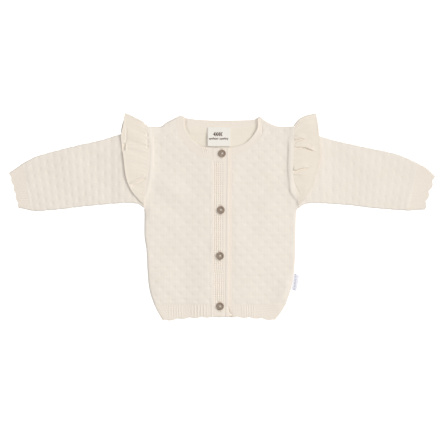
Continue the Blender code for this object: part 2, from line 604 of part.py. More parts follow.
def buttons():
    """Turned four-hole buttons on the lapped band, sewn through their holes."""
    hole, out = BUTTON_HOLE
    for number, (x, y, turn) in enumerate(BUTTONS, 1):
        name = f"button_{number}"
        profile = bpy.data.meshes.new(name)
        points = [(MM * r, 0, MM * z) for r, z in BUTTON_PROFILE]
        profile.from_pydata(points, [(k, k + 1) for k in range(len(points) - 1)], [])
        profile.materials.append(finish(name, COCONUT, 0.45))
        base = BAND_LEVEL + KNIT + SEAM
        piece = new_object(name, profile, garment, (x - CENTRE[0], y - CENTRE[1], base))
        piece.rotation_euler.z = math.radians(turn)
        piece.parent = laid
        screw = piece.modifiers.new("Turned", "SCREW")
        screw.steps = screw.render_steps = 20
        screw.use_merge_vertices = True
        screw.merge_threshold = 0.00001
        form = bmesh.new()
        for quarter in range(4):
            angle = math.pi / 4 + quarter * math.pi / 2
            made = bmesh.ops.create_cone(form, cap_ends=True, segments=8, radius1=MM * hole,
                                         radius2=MM * hole, depth=MM * 6)
            move = (MM * out * math.cos(angle), MM * out * math.sin(angle), MM * 1.4)
            bmesh.ops.translate(form, verts=made["verts"], vec=move)
        holes = bpy.data.meshes.new(name + "_holes")
        form.to_mesh(holes)
        form.free()
        drill = new_object(name + "_holes", holes, cutters)
        drill.parent = piece
        drill.hide_render = True
        drill.display_type = "WIRE"
        cut = piece.modifiers.new("Holes", "BOOLEAN")
        cut.operation, cut.object = "DIFFERENCE", drill


def neck_label():
    """A woven tape, sewn along its top edge, whose loose end bows off the back."""
    u, q = np.meshgrid(np.linspace(0, 1, 6), np.linspace(0, 1, 9))
    x = LABEL["left"] + u * (LABEL["right"] - LABEL["left"])
    y = LABEL["top"] + q * (LABEL["foot"] - LABEL["top"])
    right, left = LABEL_BOW
    bow = (right + (left - right) * u) * np.sin(math.pi * 0.72 * q)
    under = np.stack([x, y, KNIT + SEAM + bow], -1)
    wall("neck_label", under, under + (0, 0, LABEL["wall"]), WHITE_TAPE)


def side_tag():
    """A folded tape caught in the left side seam, from which it hangs down to the surface."""
    edge = through(SIDES["left"]["side"], np.linspace(0, 1, 200))
    edge = edge[(edge[:, 1] <= TAG["from_y"]) & (edge[:, 1] >= TAG["to_y"])]
    edge = edge[np.linspace(0, len(edge) - 1, 5).astype(int)] + (0.5, 0)
    share = np.linspace(0, 1, 4)[None, :, None]
    xy = edge[:, None] + share * np.array(TAG["out"])
    level = 1.5 * (1 - smooth(share[..., 0])) * np.ones((len(edge), 1))
    wall("side_tag", raised(xy, level), raised(xy, level + TAG["wall"]), WHITE_TAPE)


for old in list(bpy.data.objects):
    bpy.data.objects.remove(old, do_unlink=True)
garment = bpy.data.collections.new("baby_cardigan")
cutters = bpy.data.collections.new("cutters")
for made in (garment, cutters):
    bpy.context.scene.collection.children.link(made)
laid = bpy.data.objects.new("laid_flat", None)
garment.objects.link(laid)

back()
hem_back()
neckband_back()
for wearer_side in SIDES:
    front(wearer_side)
    hem_front(wearer_side)
    neckband_front(wearer_side)
    sleeve(wearer_side)
    cuff(wearer_side)
    ruffle(wearer_side)
bands()
buttons()
neck_label()
side_tag()
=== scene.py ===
"""The looks of a baby's buttoned cardigan of cream cotton knit, laid flat on its back.

Lengths are in millimetres until they go into a mesh. +X is the wearer's left, +Y the neck and +Z up
from the surface. The sections follow the garment as it is put together, from the back to the tag.
"""

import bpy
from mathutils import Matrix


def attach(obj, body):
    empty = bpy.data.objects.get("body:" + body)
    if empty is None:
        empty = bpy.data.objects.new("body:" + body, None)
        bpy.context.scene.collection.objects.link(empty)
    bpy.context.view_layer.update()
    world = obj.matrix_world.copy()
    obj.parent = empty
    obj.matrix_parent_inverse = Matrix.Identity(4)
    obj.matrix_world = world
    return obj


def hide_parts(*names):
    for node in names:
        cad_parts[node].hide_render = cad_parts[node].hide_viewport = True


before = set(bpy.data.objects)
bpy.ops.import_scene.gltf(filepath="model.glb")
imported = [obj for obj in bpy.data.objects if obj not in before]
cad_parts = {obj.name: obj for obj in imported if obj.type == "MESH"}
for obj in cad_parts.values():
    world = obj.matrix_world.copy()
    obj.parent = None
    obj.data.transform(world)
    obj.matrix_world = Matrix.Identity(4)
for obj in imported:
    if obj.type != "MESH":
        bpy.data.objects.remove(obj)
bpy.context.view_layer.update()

import math

import bpy
import mathutils
import numpy as np


# The view and the light, in metres and degrees. The camera looks straight down. A broad soft light
# stands on the wearer's left, another hangs overhead, and a white room fills the shadows.
VIEW_WIDTH, VIEW_PLACE = 0.66, (-0.00285, -0.00475, 3)
KEY_STRENGTH, KEY_COLOUR = 1.31, (1.0, 0.985, 0.965)
KEY_HEIGHT, KEY_TURN = 42, 20  # above the surface, and from +X towards the neck
KEY_SPREAD = 22  # across: a large lamp
HANGING_POWER, HANGING_WIDTH, HANGING_PLACE = 8.1, 0.9, (0.13, 0.0, 1.5)
ROOM_STRENGTH = 0.385
PAPER_HALF, PAPER_HEIGHT = 20.0, -0.0003
PAPER_GLOW = (0.33, 0.67)  # emission that lights the garment, and what the camera sees on top of it


def fill_sockets(tree, node, sockets):
    """Each socket gets a value, or another node's output."""
    for socket, source in sockets.items():
        if isinstance(source, bpy.types.NodeSocket):
            tree.links.new(source, node.inputs[socket])
        else:
            node.inputs[socket].default_value = source


def add_node(tree, kind, sockets=(), **settings):
    """A node with its settings and links. It returns the node's outputs."""
    node = tree.nodes.new("ShaderNode" + kind)
    for name, value in settings.items():
        setattr(node, name, value)
    fill_sockets(tree, node, dict(sockets))
    return node.outputs


def add_material(name):
    """A new material, its nodes and its shader."""
    look = bpy.data.materials.new(name)
    look.use_nodes = True
    return look, look.node_tree, look.node_tree.nodes["Principled BSDF"]


def add_object(name, data):
    """A new object in the scene."""
    thing = bpy.data.objects.new(name, data)
    bpy.context.scene.collection.objects.link(thing)
    return thing


def glow(tree, light, more):
    """A strength that lights with one value, and shows the camera more."""
    seen = add_node(tree, "LightPath")["Is Camera Ray"]
    return add_node(tree, "Math", {0: seen, 1: more, 2: light}, operation="MULTIPLY_ADD")[0]


scene = bpy.context.scene
scene.view_settings.view_transform = "Standard"
lens = bpy.data.cameras.new("view")
lens.type, lens.ortho_scale = "ORTHO", VIEW_WIDTH
scene.camera = add_object("view", lens)
scene.camera.location = VIEW_PLACE

key = bpy.data.lights.new("key", "SUN")
key.energy, key.angle, key.color = KEY_STRENGTH, math.radians(KEY_SPREAD), KEY_COLOUR
add_object("key", key).rotation_euler = (0, math.radians(90 - KEY_HEIGHT), math.radians(KEY_TURN))

hanging = bpy.data.lights.new("overhead softbox", "AREA")
hanging.energy, hanging.size = HANGING_POWER, HANGING_WIDTH
add_object("overhead softbox", hanging).location = HANGING_PLACE

scene.world = bpy.data.worlds.new("white room")
scene.world.use_nodes = True
room = scene.world.node_tree
fill_sockets(room, room.nodes["Background"],
             {"Color": (1, 1, 1, 1), "Strength": glow(room, ROOM_STRENGTH, 1 - ROOM_STRENGTH)})

paper, paper_nodes, paper_shader = add_material("white paper sweep, lit from below")
fill_sockets(paper_nodes, paper_shader, {
    "Base Color": (0.42, 0.42, 0.42, 1), "Roughness": 0.9, "Specular IOR Level": 0,
    "Emission Color": (1, 1, 1, 1), "Emission Strength": glow(paper_nodes, *PAPER_GLOW)})
sweep = bpy.data.meshes.new("floor")
sweep.from_pydata([(x * PAPER_HALF, y * PAPER_HALF, PAPER_HEIGHT)
                   for x, y in ((-1, -1), (1, -1), (1, 1), (-1, 1))], [], [(0, 1, 2, 3)])
sweep.materials.append(paper)
add_object("floor", sweep)


# The back: one panel of textured cotton knit, whose outside lies on the surface. Its plainer inside
# shows in the neck opening. Like every knitted piece it is a closed wall with a place on the knitting
# for each point, in millimetres along its rows and up its columns.
MM = 0.001
CENTRE = (0.6, -0.5)  # the middle of the garment's box, which comes to the origin
JOIN = 0.04  # between pieces that are joined edge to edge
KNIT = 2.0  # the wall of the body, hem and button band
BACK_HEM_LINE = -132.3
EDGE_ROLL = 3.0  # over this width an outer edge rounds down
ROW, DASH = 9.8, 18.3  # the textured knit's repeat, up the columns and along the rows
SIDES = {
    "right": {
        "side": [(-101, -132), (-107, -114), (-110.3, -92), (-112.5, -51), (-115.5, -30), (-115.5, 3),
                 (-116.2, 14)],
        "armhole": [(-116.2, 14), (-115.2, 32), (-113.4, 48), (-110.4, 67), (-108.9, 85), (-108.6, 104),
                    (-109.8, 135)],
        "shoulder": [(-109.8, 135), (-91.5, 135), (-82.5, 141), (-73.5, 145.8), (-67.8, 148.5)],
    },
    "left": {
        "side": [(96.4, -132), (102.6, -114), (107.2, -96), (109.9, -72), (111, -36), (111.6, -6),
                 (112.7, 9), (116.5, 13.5)],
        "armhole": [(116.5, 13.5), (113.3, 29.1), (110.3, 45.6), (107.5, 73), (108.4, 100.5), (108.4, 135)],
        "shoulder": [(108.4, 135), (97.5, 135), (82.5, 135.5), (70.5, 141), (62, 145.8)],
    },
}
BACK_NECK_FOOT = [(-66.4, 135.2), (-31, 133.9), (0, 133.4), (43.5, 133.9), (61.4, 135.4)]
BACK_CORNERS = (-67.8, 148.0), (62.2, 145.2)  # where the shoulders end, above the neckband's foot
BACK_RELIEF = 0.45, 0.3  # of the knit's outside, which lies down, and of its inside
NECK_FOLD = [(-46.6, 119.5), (-51.5, 127), (-54.4, 133.5), (-55.2, 149.5)]  # where the right fold covers it
NECK_STEP, NECK_STEP_WIDTH, NECK_FALL = 1.3, 4.5, 25  # the back's rise beside that fold, and its fall


def shares(count):
    """Even steps from 0 to 1."""
    return np.linspace(0, 1, count)


def smooth(x):
    """0 below 0, 1 above 1, and an even S between them."""
    x = np.clip(x, 0, 1)
    return x * x * (3 - 2 * x)


def ramp(x, start, length):
    """0 up to the start, and 1 past the length."""
    return smooth((x - start) / length)


def runs(line):
    """How far along a line each of its points is."""
    return np.r_[0, np.cumsum(np.linalg.norm(np.diff(line, axis=0), axis=1))]


def points_at(line, distances):
    """The points at these distances along a line."""
    return np.column_stack([np.interp(distances, runs(line), places) for places in line.T])


def through(table, places):
    """The points at these shares of the length of a smooth line through a table's places."""
    p = np.array(table, float)
    ends = np.vstack([2 * p[0] - p[1], p, 2 * p[-1] - p[-2]])
    a, b, c, d = (ends[k:len(p) - 1 + k, None] for k in range(4))
    t = np.linspace(0, 1, 24, endpoint=False)[None, :, None]
    line = b + 0.5 * t * (c - a + t * (2 * a - 5 * b + 4 * c - d + t * (3 * (b - c) + d - a)))
    line = np.vstack([line.reshape(-1, 2), p[-1:]])
    return points_at(line, np.asarray(places) * runs(line)[-1])


def away(xy, *lines):
    """How far each place is from the nearest of some lines: the least distance to a straight step."""
    nearest = np.full(xy.shape[:-1], np.inf)
    for line in lines:
        step = np.diff(line, axis=0)
        whole = np.linalg.norm(step, axis=1) > 0
        for a, b in zip(line[:-1][whole], step[whole]):
            to = xy - a
            share = np.clip((to @ b) / (b @ b), 0, 1)
            nearest = np.minimum(nearest, np.hypot(*np.moveaxis(to - share[..., None] * b, -1, 0)))
    return nearest


def patch(foot, top, left, right):
    """A grid of places between four seams: the two straight blends, less what both count twice."""
    u, v = (sum(runs(q) / runs(q)[-1] for q in pair) / 2 for pair in ((foot, top), (left, right)))
    u, v = u[None, :, None], v[:, None, None]
    grid = (1 - v) * foot[None] + v * top[None] + (1 - u) * left[:, None] + u * right[:, None]
    corners = (1 - u) * (1 - v) * foot[0] + u * (1 - v) * foot[-1] + (1 - u) * v * top[0] + u * v * top[-1]
    return grid - corners


def raised(xy, height):
    """Places with a height each."""
    return np.concatenate([xy, np.broadcast_to(height, xy.shape[:-1])[..., None]], axis=-1)


def edge_drop(distance):
    """The share of a wall that is lost near its edge, which rounds off as a quarter of an ellipse."""
    t = np.clip(distance / EDGE_ROLL, 0, 1)
    return 1 - np.sqrt(1 - (1 - t) ** 2)


def textured(along, up, repeat=ROW, ridged=0.15, half=(3.9, 1.9)):
    """Height of the textured knit, 0 to 1, from places along its rows and up its columns.

    A round ridge lies between each two rows, as one wave of a cosine. In each valley lie sunken
    dashes, as bell curves, and the next valley's are moved on by half of their repeat.
    """
    row = np.round(up / repeat)
    beside_row = up - row * repeat
    from_dash = ((along / DASH + 0.5 * (row % 2)) % 1 - 0.5) * DASH
    ridge = 0.5 - 0.5 * np.cos(2 * np.pi * beside_row / repeat)
    dash = np.exp(-((from_dash / half[0]) ** 2) - (beside_row / half[1]) ** 2)
    return ridged * ridge + 0.85 * (1 - dash)


def beside_fold(xy):
    """How far the back of the neck stands up beside the right shoulder fold: a step, then a long fall."""
    x, y = np.array(NECK_FOLD).T
    clear = np.maximum(xy[..., 0] - np.interp(xy[..., 1], y, x), 0)
    rise = NECK_STEP * smooth(clear / NECK_STEP_WIDTH) * np.exp(-clear / NECK_FALL)
    return rise * ramp(xy[..., 1], y[0], 8)


def quads(index):
    """The faces of a grid of point numbers."""
    return np.stack([index[:-1, :-1], index[:-1, 1:], index[1:, 1:], index[1:, :-1]], -1).reshape(-1, 4)


def finished(name, mesh, finish, sharp, node=None):
    """A piece with its material, in the place of its solid if it has one.

    It is smooth, but for edges that turn by more than sharp, in degrees.
    """
    look, slot = finish
    mesh.shade_smooth()
    mesh.set_sharp_from_angle(angle=math.radians(sharp))
    mesh.materials.append(look)
    piece = add_object(name, mesh)
    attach(piece, "root")
    if node:
        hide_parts(node)
    return piece


def piece_from(name, points, faces, knitting, finish, node=None):
    """A closed piece with its faces outwards, pressed flat on the surface where it would sink below it.

    Knitting gives each corner of each face its place on the cloth. Six times the volume is the sum
    of each triangle's triple product, and its sign tells which way the faces point.
    """
    points = np.maximum(points.reshape(-1, 3) - (*CENTRE, 0), (-np.inf, -np.inf, 0)) * MM
    a, b, c, d = np.moveaxis(points[faces], 1, 0)
    if (a * np.cross(b, c) + a * np.cross(c, d)).sum() < 0:
        faces, knitting = faces[:, ::-1], knitting[:, ::-1]
    mesh = bpy.data.meshes.new(name)
    mesh.from_pydata(points.tolist(), [], faces.tolist())
    mesh.uv_layers.new(name="knitting").uv.foreach_set("vector", knitting.astype(np.float32).ravel())
    return finished(name, mesh, finish, 60, node)


def wall(name, under, over, knitting, finish, node):
    """A closed wall: an under grid, an over grid of the same shape, and the rim between them."""
    low = np.arange(under[..., 0].size).reshape(under.shape[:2])
    rim = np.r_[low[0], low[1:, -1], low[-1, -2::-1], low[-2::-1, 0]]
    faces = np.vstack([quads(low)[:, ::-1], quads(low + low.size), quads(np.array([rim, rim + low.size]))])
    points = np.vstack([under.reshape(-1, 3), over.reshape(-1, 3)])
    return piece_from(name, points, faces, knitting.reshape(-1, 2)[faces % low.size], finish, node)


def laid(name, xy, under, over, finish, node, knitting=None):
    """A laid sheet: a wall between two heights above a grid of places.

    They are also its places on the knitting, and its cut is theirs, unless others are given.
    """
    knitting = xy if knitting is None else knitting
    piece = wall(name, raised(xy, under), raised(xy, over), knitting, finish, node)


def linear(colour):
    """An sRGB hex colour as linear red, green and blue, with an alpha of 1."""
    parts = np.array([int(colour[k:k + 2], 16) for k in (1, 3, 5)]) / 255
    parts = np.where(parts <= 0.04045, parts / 12.92, ((parts + 0.055) / 1.055) ** 2.4)
    return (*parts.tolist(), 1.0)


def cotton_knit(name, slot, yarn, hollow, wale, course, relief):
    """Combed cotton yarn in columns of Vs: matt, with a soft bloom of loose fibres at its edges.

    Across a column the legs of a V rise from its middle, so a stitch's phase is its place up the
    column plus its distance from the column's middle. Wale and course are the stitch in millimetres.
    The colour runs from the hollow tone to the yarn tone with the stitch's height and a slow random
    unevenness: the darker hollows are painted shade.
    """
    look, tree, shader = add_material(name)
    place = add_node(tree, "UVMap", uv_map="knitting")["UV"]
    across, up, _ = add_node(tree, "SeparateXYZ", {0: place})
    column = add_node(tree, "Math", {0: across, 1: wale}, operation="DIVIDE")[0]
    column = add_node(tree, "Math", {0: column}, operation="FRACT")[0]
    middle = add_node(tree, "Math", {0: column, 1: 0.5}, operation="SUBTRACT")[0]
    middle = add_node(tree, "Math", {0: middle}, operation="ABSOLUTE")[0]
    stitch = add_node(tree, "Math", {0: up, 1: 1 / course, 2: middle}, operation="MULTIPLY_ADD")[0]
    stitch = add_node(tree, "Math", {0: stitch, 1: 2 * math.pi}, operation="MULTIPLY")[0]
    leg = add_node(tree, "Math", {0: stitch}, operation="SINE")[0]
    leg = add_node(tree, "Math", {0: leg, 1: 0.25, 2: 0.5}, operation="MULTIPLY_ADD")[0]
    groove = add_node(tree, "Math", {0: middle, 1: 4.0}, operation="POWER")[0]
    height = add_node(tree, "Math", {0: groove, 1: -6.0, 2: leg}, operation="MULTIPLY_ADD")[0]
    point = add_node(tree, "TexCoord")["Object"]
    fibres = add_node(tree, "TexNoise", {"Vector": point, "Scale": 1400.0, "Detail": 2.0})[0]
    height = add_node(tree, "Math", {0: fibres, 1: 0.35, 2: height}, operation="MULTIPLY_ADD")[0]
    bump = add_node(tree, "Bump", {"Height": height, "Strength": 0.8, "Distance": relief * MM})[0]
    # The colour: painted shade, from the hollow tone in the stitches' hollows to the yarn tone on their
    # tops, plus a slow random unevenness of the yarn's tone.
    uneven = add_node(tree, "TexNoise", {"Vector": point, "Scale": 38.0, "Detail": 3.0})[0]
    depth = add_node(tree, "Math", {0: uneven, 1: 0.5, 2: height}, operation="MULTIPLY_ADD")[0]
    share = add_node(tree, "MapRange", {"Value": depth, "From Min": 0.35, "From Max": 1.1})[0]
    colour = add_node(tree, "Mix", {0: share, 6: linear(hollow), 7: linear(yarn)}, data_type="RGBA")[2]
    fill_sockets(tree, shader, {"Base Color": colour, "Normal": bump, "Roughness": 0.95, "IOR": 1.5,
                                "Specular IOR Level": 0.25, "Sheen Weight": 0.12, "Sheen Roughness": 0.5})
    return look, slot


# The back's knit is a yellower copy of the body's: its warmer tone is painted bounce light from the cream
# cloth round the neck opening.
back_knit_bounce_tinted = cotton_knit("combed cotton, textured knit, inner side", "body_knit", "#f2eadd", "#eae0cf",
                         2.3, 2.0, 0.2)


def back_panel():
    """Its seams are those of the two fronts, and its top steps down to the back neckband."""
    right, left = (np.vstack([through(lines["side"], shares(74))[:-1],
                              through(lines["armhole"], shares(62))]) for lines in SIDES.values())
    right[0, 1] = left[0, 1] = BACK_HEM_LINE + JOIN / 2
    neck = through(BACK_NECK_FOOT, shares(64)) - (0, JOIN)
    neck[[0, -1], 0] += (-JOIN, JOIN)
    shoulders = [through(lines["shoulder"], np.linspace(0, 0.97, 20)) for lines in SIDES.values()]
    top = np.vstack([shoulders[0], BACK_CORNERS[0], neck, BACK_CORNERS[1], shoulders[1][::-1]])
    parts = np.ceil(np.diff(runs(top)) / 2)
    top = points_at(top, np.interp(np.arange(parts.sum() + 1), np.r_[0, np.cumsum(parts)], runs(top)))
    step = np.abs(np.diff(top, axis=0))
    foot_share = np.r_[0, np.cumsum(step[:, 0] + 0.15 * step[:, 1])]
    foot = right[0] + (foot_share / foot_share[-1])[:, None] * (left[0] - right[0])
    xy = patch(foot, top, right, left)
    edge = away(xy, right[::3], left[::3], *shoulders)
    inner = smooth(np.minimum(edge, away(xy, np.vstack([top[::4], top[-1:]]))) / 4)
    hollow = (1 - textured(xy[..., 0] + 4, xy[..., 1])) * inner
    under = 0.5 * KNIT * edge_drop(edge) + BACK_RELIEF[0] * hollow
    over = KNIT - 0.2 + BACK_RELIEF[1] * hollow + beside_fold(xy)
    laid("back", xy, under, over, back_knit_bounce_tinted, "back_panel")


back_panel()


# The back hem: knitted on below the panel, in ribs that the front hides. It lies on the surface.
# Its lower edge is scalloped, because the ribs are drawn together in groups.
HEM_EDGE = -150.0
HEM_DROOP, HEM_HALF = 5.0, 80.0  # lower by the droop at this distance from the middle
HEM_INSET = 0.4  # how far the back's hem stays inside the front's
OUT = {"right": -1, "left": 1}  # which way along X each side looks
SCALLOP = (18.0, 6.0, 1.8)  # pitch, place of one notch, depth
HEM_RIB, BACK_RIB_DEPTH = 4.0, 0.35
HEM_SIDES = {"right": [(-101, -132), (-96.6, -141), (-92, -149), (-88.5, -154.4)],
             "left": [(96.4, -132), (91, -141), (85.3, -149), (80, -154.6)]}
rib_knit = cotton_knit("combed cotton, ribbed knit", "rib_knit", "#f3eadf", "#eadfd0", 2.0, 2.2, 0.2)


def hem_edge(x):
    """Height of the scalloped edge: a droop towards the sides, less the lobes of a sine's size."""
    pitch, notch, depth = SCALLOP
    droop = HEM_DROOP * (np.minimum(np.abs(x), HEM_HALF) / HEM_HALF) ** 2.5
    return HEM_EDGE - droop - depth * np.abs(np.sin(np.pi * (x - notch) / pitch))


def ribbing(along, pitch):
    """Height of round ribs, 0 in a groove and 1 on a rib."""
    return np.abs(np.sin(np.pi * along / pitch)) ** 0.8


def hem_back():
    """The three free edges round off, and the ribs are on the outside, which lies down."""
    right, left = (np.array(HEM_SIDES[side], float) - (OUT[side] * HEM_INSET, 0) for side in SIDES)
    top_x, foot_x = (right[k, 0] + shares(200) * (left[k, 0] - right[k, 0]) for k in (0, -1))
    top = np.column_stack([top_x, 0 * top_x + BACK_HEM_LINE - JOIN / 2])
    foot = np.column_stack([foot_x, hem_edge(foot_x) + HEM_INSET])
    right[-1], left[-1] = foot[0], foot[-1]
    sides = [through(line, shares(18)) for line in (right, left)]
    sides[0][0], sides[1][0] = top[0], top[-1]
    xy = patch(top, foot, *sides)
    edge = away(xy, foot[::2], *sides)
    groove = BACK_RIB_DEPTH * (1 - ribbing(xy[..., 0], HEM_RIB)) * smooth(edge / 2)
    laid("hem_back_ribs", xy, 0.5 * KNIT * edge_drop(edge) + groove, KNIT - 0.1 - groove / 2, rib_knit,
         "hem_back")


hem_back()


# The band behind the neck: ribbed, linked on to the back's neck edge, and folded to a round edge.
# Its inside shows between the two shoulder folds.
NECK_RIB = 3.1
NECK_DEPTH = 12  # the knitting's depth, from edge to edge
BACK_NECK_TOP = [(-66.8, 146.8), (-60, 148.6), (-49.5, 147), (-31.5, 145), (0, 144), (43.5, 144.8),
                 (54, 147.6), (61.2, 145.2)]
BACK_NECK_WALL, BACK_NECK_SWELL = 1.7, 0.15
NECK_PROFILE = [(0, 0.5), (0.05, 0.8), (0.15, 0.97), (0.9, 1.0), (1, 0.97)]  # from the free edge in
LINKING = (0.05, 0.06, 0.3)  # the row of linking stitches: its place and width as shares, its height
SHOWS = (-1, 50, 6)  # where the band's inside shows: the middle, half its width, and how soon it ends


def bell(x):
    """A bell curve: 1 at 0, and about a third at 1."""
    return np.exp(-(x ** 2))


def both(a, b):
    """A grid of pairs."""
    return np.stack(np.broadcast_arrays(a, b), -1)


def neckband_back():
    """The grid runs from shoulder to shoulder, and its ribs run across the band."""
    across = shares(15)[:, None]
    foot, top = (through(line, shares(260)) for line in (BACK_NECK_FOOT, BACK_NECK_TOP))
    xy = (1 - across[..., None]) * foot + across[..., None] * top
    run = runs(foot)[None]
    swell = BACK_NECK_SWELL * ribbing(run, NECK_RIB) * np.sin(np.pi * across) ** 0.5
    linking = LINKING[2] * bell((across - LINKING[0]) / LINKING[1])
    hidden = ramp(np.abs(xy[..., 0] - SHOWS[0]), *SHOWS[1:])
    body = BACK_NECK_WALL * np.interp(1 - across, *zip(*NECK_PROFILE))
    over = body + (swell + linking) * (1 - hidden) + beside_fold(xy)
    laid("neckband_back_ribs", xy, 0.5 * edge_drop(away(xy, top[::6])), over, rib_knit, "neckband_back",
         both(run, across * NECK_DEPTH))


neckband_back()


# The two fronts: the same textured knit. Each lies on the back, and the right one climbs to the
# lapped band. Along the armhole its edge is rolled over the seam in a soft ridge.
SEAM = 0.3  # between layers
HEM_LINE = -132.0  # not in line with the back's, so that no light comes through both
LAP_LIFT, LAP_CLIMB = 2.0, (-62.0, 46.0)  # the right front's climb: how high, from where, how wide
ARM_LIFT, ARM_LIFT_REACH = 1.5, 16.0  # how far the sleeve head lifts a front, and how far in
UNDERARM = (12.0, 24.0)  # where the armhole's rises begin above the underarm, and how soon they are full
NECK_BASE = 0.22  # share of the armhole that lies below the foot of the neckline
NECKLINES = {
    "right": [(-13.3, 86.3), (-30, 89.3), (-42, 96), (-53.3, 106.5), (-61, 120), (-67.3, 133.5),
              (-67.8, 148.5)],
    "left": [(16.1, 92.3), (32.7, 97.2), (43.6, 103.6), (54, 113.3), (60.6, 124.5), (62.8, 135),
             (62, 145.8)],
}
# The roll beside the armhole. Columns: height at the seam and at its full height, how far inside
# the edge it is full, still full and gone, and how much broader it is above the underarm.
ROLLS = {"right": (0.7, 1.3, 3.0, 4.5, 8.5, 0), "left": (1.3, 2.0, 4.5, 7.0, 9.6, 0.3)}
ROLL_BROAD = (27.0, 12.0)  # where it is broadest, and how far up and down from there it is broader
ROLL_BEND = (42.0, 30.0, 10.0)  # where it starts to bend to the underarm, in what length, how far
ROLL_TOP = (104.0, 18.0)  # where it gives way to the rise at the shoulder, and over what length
SHOULDER_RISE = (1.35, 9.0)  # that rise towards the ruffle: how high, how far in
FRONT_RELIEF, FRONT_RIDGED, FRONT_DASH = 0.82, 0.06, (3.1, 2.3)
FRONT_RUMPLE = 0.45
# Soft folds, and fine creases of the upper side. Columns: half width, height, and the line's places.
FOLDS = [(13, 1.1, [(-106, 62), (-66, 34)]), (11, 0.8, [(-108, 6), (-72, -8)]),
         (13, 1.1, [(106, 50), (68, 20)]), (9, 1.2, [(100, -104), (84, -130)]),
         (16, 0.8, [(60, -20), (34, -70)])]
CREASES = [(0.9, 0.5, [(-14.6, 84), (-14.6, -150)]), (1.0, -0.7, [(60.9, 136), (60.7, 125)]),
           (1.1, -1.0, [(9.9, -136), (10.8, -142)]), (1.2, -1.0, [(10.8, -142), (16.5, -149)]),
           (0.8, -0.6, [(108.0, 64), (109.9, 46)])]
body_knit = cotton_knit("combed cotton, textured knit", "body_knit", "#f3ebe1", "#ebe1d4", 2.3, 2.0, 0.25)


def unit(vectors):
    """The same directions, at a length of 1."""
    return vectors / np.linalg.norm(vectors, axis=-1, keepdims=True)


def rumple(xy, height):
    """The slight unevenness of laid cloth: five long waves of unlike length and direction."""
    waves = np.array([(61, 12, 0.4), (-23, 71, 1.9), (37, 44, 3.1), (-52, 29, 4.4), (18, -33, 5.2)])
    phase = (xy @ (waves[:, :2] / (waves[:, :2] ** 2).sum(1)[:, None]).T) * 2 * np.pi
    return height * np.sin(phase + waves[:, 2]).sum(-1) / 2.5


def bells(table, xy):
    """The sum of a bell curve across each line of a table."""
    return sum(rise * bell(away(xy, through(places, shares(12))) / half) for half, rise, places in table)


def front_level(side, xy):
    """The height of a front's underside: on the back, and up to the lapped band and the sleeve."""
    climb = LAP_LIFT * ramp(xy[..., 0], *LAP_CLIMB) if side == "right" else 0
    from_armhole = away(xy, through(SIDES[side]["armhole"], shares(40)))
    lift = ARM_LIFT * smooth(1 - from_armhole / ARM_LIFT_REACH) * ramp(xy[..., 1], *UNDERARM)
    return KNIT + SEAM + climb + lift


def seam_roll(side, from_armhole, y):
    """The roll beside the armhole, which grows from the underarm and is a plain rise at the shoulder."""
    at_seam, height, full, still_full, gone, broader = ROLLS[side]
    from_armhole = from_armhole / (1 + broader * bell((y - ROLL_BROAD[0]) / ROLL_BROAD[1]))
    from_armhole = from_armhole + ROLL_BEND[2] * smooth((ROLL_BEND[0] - y) / ROLL_BEND[1])
    roll = at_seam + (height - at_seam) * smooth(from_armhole / full)
    roll = roll * smooth((gone - from_armhole) / (gone - still_full)) * ramp(y, *UNDERARM)
    rise = SHOULDER_RISE[0] * smooth(1 - from_armhole / SHOULDER_RISE[1])
    return roll + (rise - roll) * ramp(y, *ROLL_TOP)


def front(side):
    """Rows run from the side and armhole to the placket and neckline, up from the hem line.

    The rows of the knit waver a little, as two slow sines across and one up the panel.
    """
    lines = SIDES[side]
    below, above = np.linspace(0, NECK_BASE, 20), np.linspace(NECK_BASE, 1, 70)
    outer = np.vstack([through(lines["side"], shares(104))[:-1],
                       through(lines["armhole"], np.r_[below[:-1], above])])
    neck = through(NECKLINES[side], (above - NECK_BASE) / (1 - NECK_BASE))
    neck -= OUT[side] * JOIN * unit(np.gradient(neck, axis=0)[:, ::-1] * (-1, 1))
    placket = np.linspace((neck[0, 0], HEM_LINE), neck[0], len(outer) - len(neck) + 1)
    inner = np.vstack([placket[:-1], neck])
    across = shares(72)
    foot = outer[0] + across[:, None] * (inner[0] - outer[0]) + (0, JOIN / 2)
    shoulder = through([*lines["shoulder"][:-1], tuple(neck[-1])], across)
    outer[0], inner[0] = foot[0], foot[-1]
    xy = patch(foot, shoulder, outer, inner)
    x, y = np.moveaxis(xy, -1, 0)
    from_armhole = away(xy, through(lines["armhole"], shares(60)))
    from_edge = away(xy, outer[:104:4], shoulder[::3])
    from_seams = np.minimum(np.minimum(from_edge, from_armhole), away(xy, inner[::3], foot))
    folds = (bells(FOLDS, xy) + rumple(xy, FRONT_RUMPLE)) * smooth(from_seams / 9)
    wavy = y + 1.2 * np.sin(x / 31) + 0.9 * np.sin(x / 9.3 + y / 17)
    stitches = textured(x + 1.1 * np.sin(y / 13), wavy, ROW, FRONT_RIDGED, FRONT_DASH) - 0.5
    clear_of_roll = 1 - smooth((ROLLS[side][4] - from_armhole) / 3)
    relief = FRONT_RELIEF * stitches * smooth(from_seams / 3) * clear_of_roll + bells(CREASES, xy)
    under = front_level(side, xy) + folds
    over = under + seam_roll(side, from_armhole, y) + relief + KNIT * (1 - 0.75 * edge_drop(from_edge))
    laid(side + "_front", xy, under, over, body_knit, "front_" + side)


for wearer_side in SIDES:
    front(wearer_side)


# The front hem ribs: knitted on below each front, with the back hem's scallops.
PLACKET_X = {"right": -13.3, "left": 16.1}  # each front's edge at its band
HEM_DEPTH, HEM_SWELL = 20, 0.1  # the knitting's depth, and the height of a rib
# Where the ribs are drawn in. Columns: middle, half width, pitch, height.
DRAWN = {"right": [(-69, 11, 3.75, 0.55), (-33, 11, 4.6, 0.9)], "left": [(40, 10, 3.6, 0.8)]}
RIB_FADE = [0, 0.15, 0.6, 1], [0, 1, 1, 0.3]  # at these shares of the way down, so much of their height


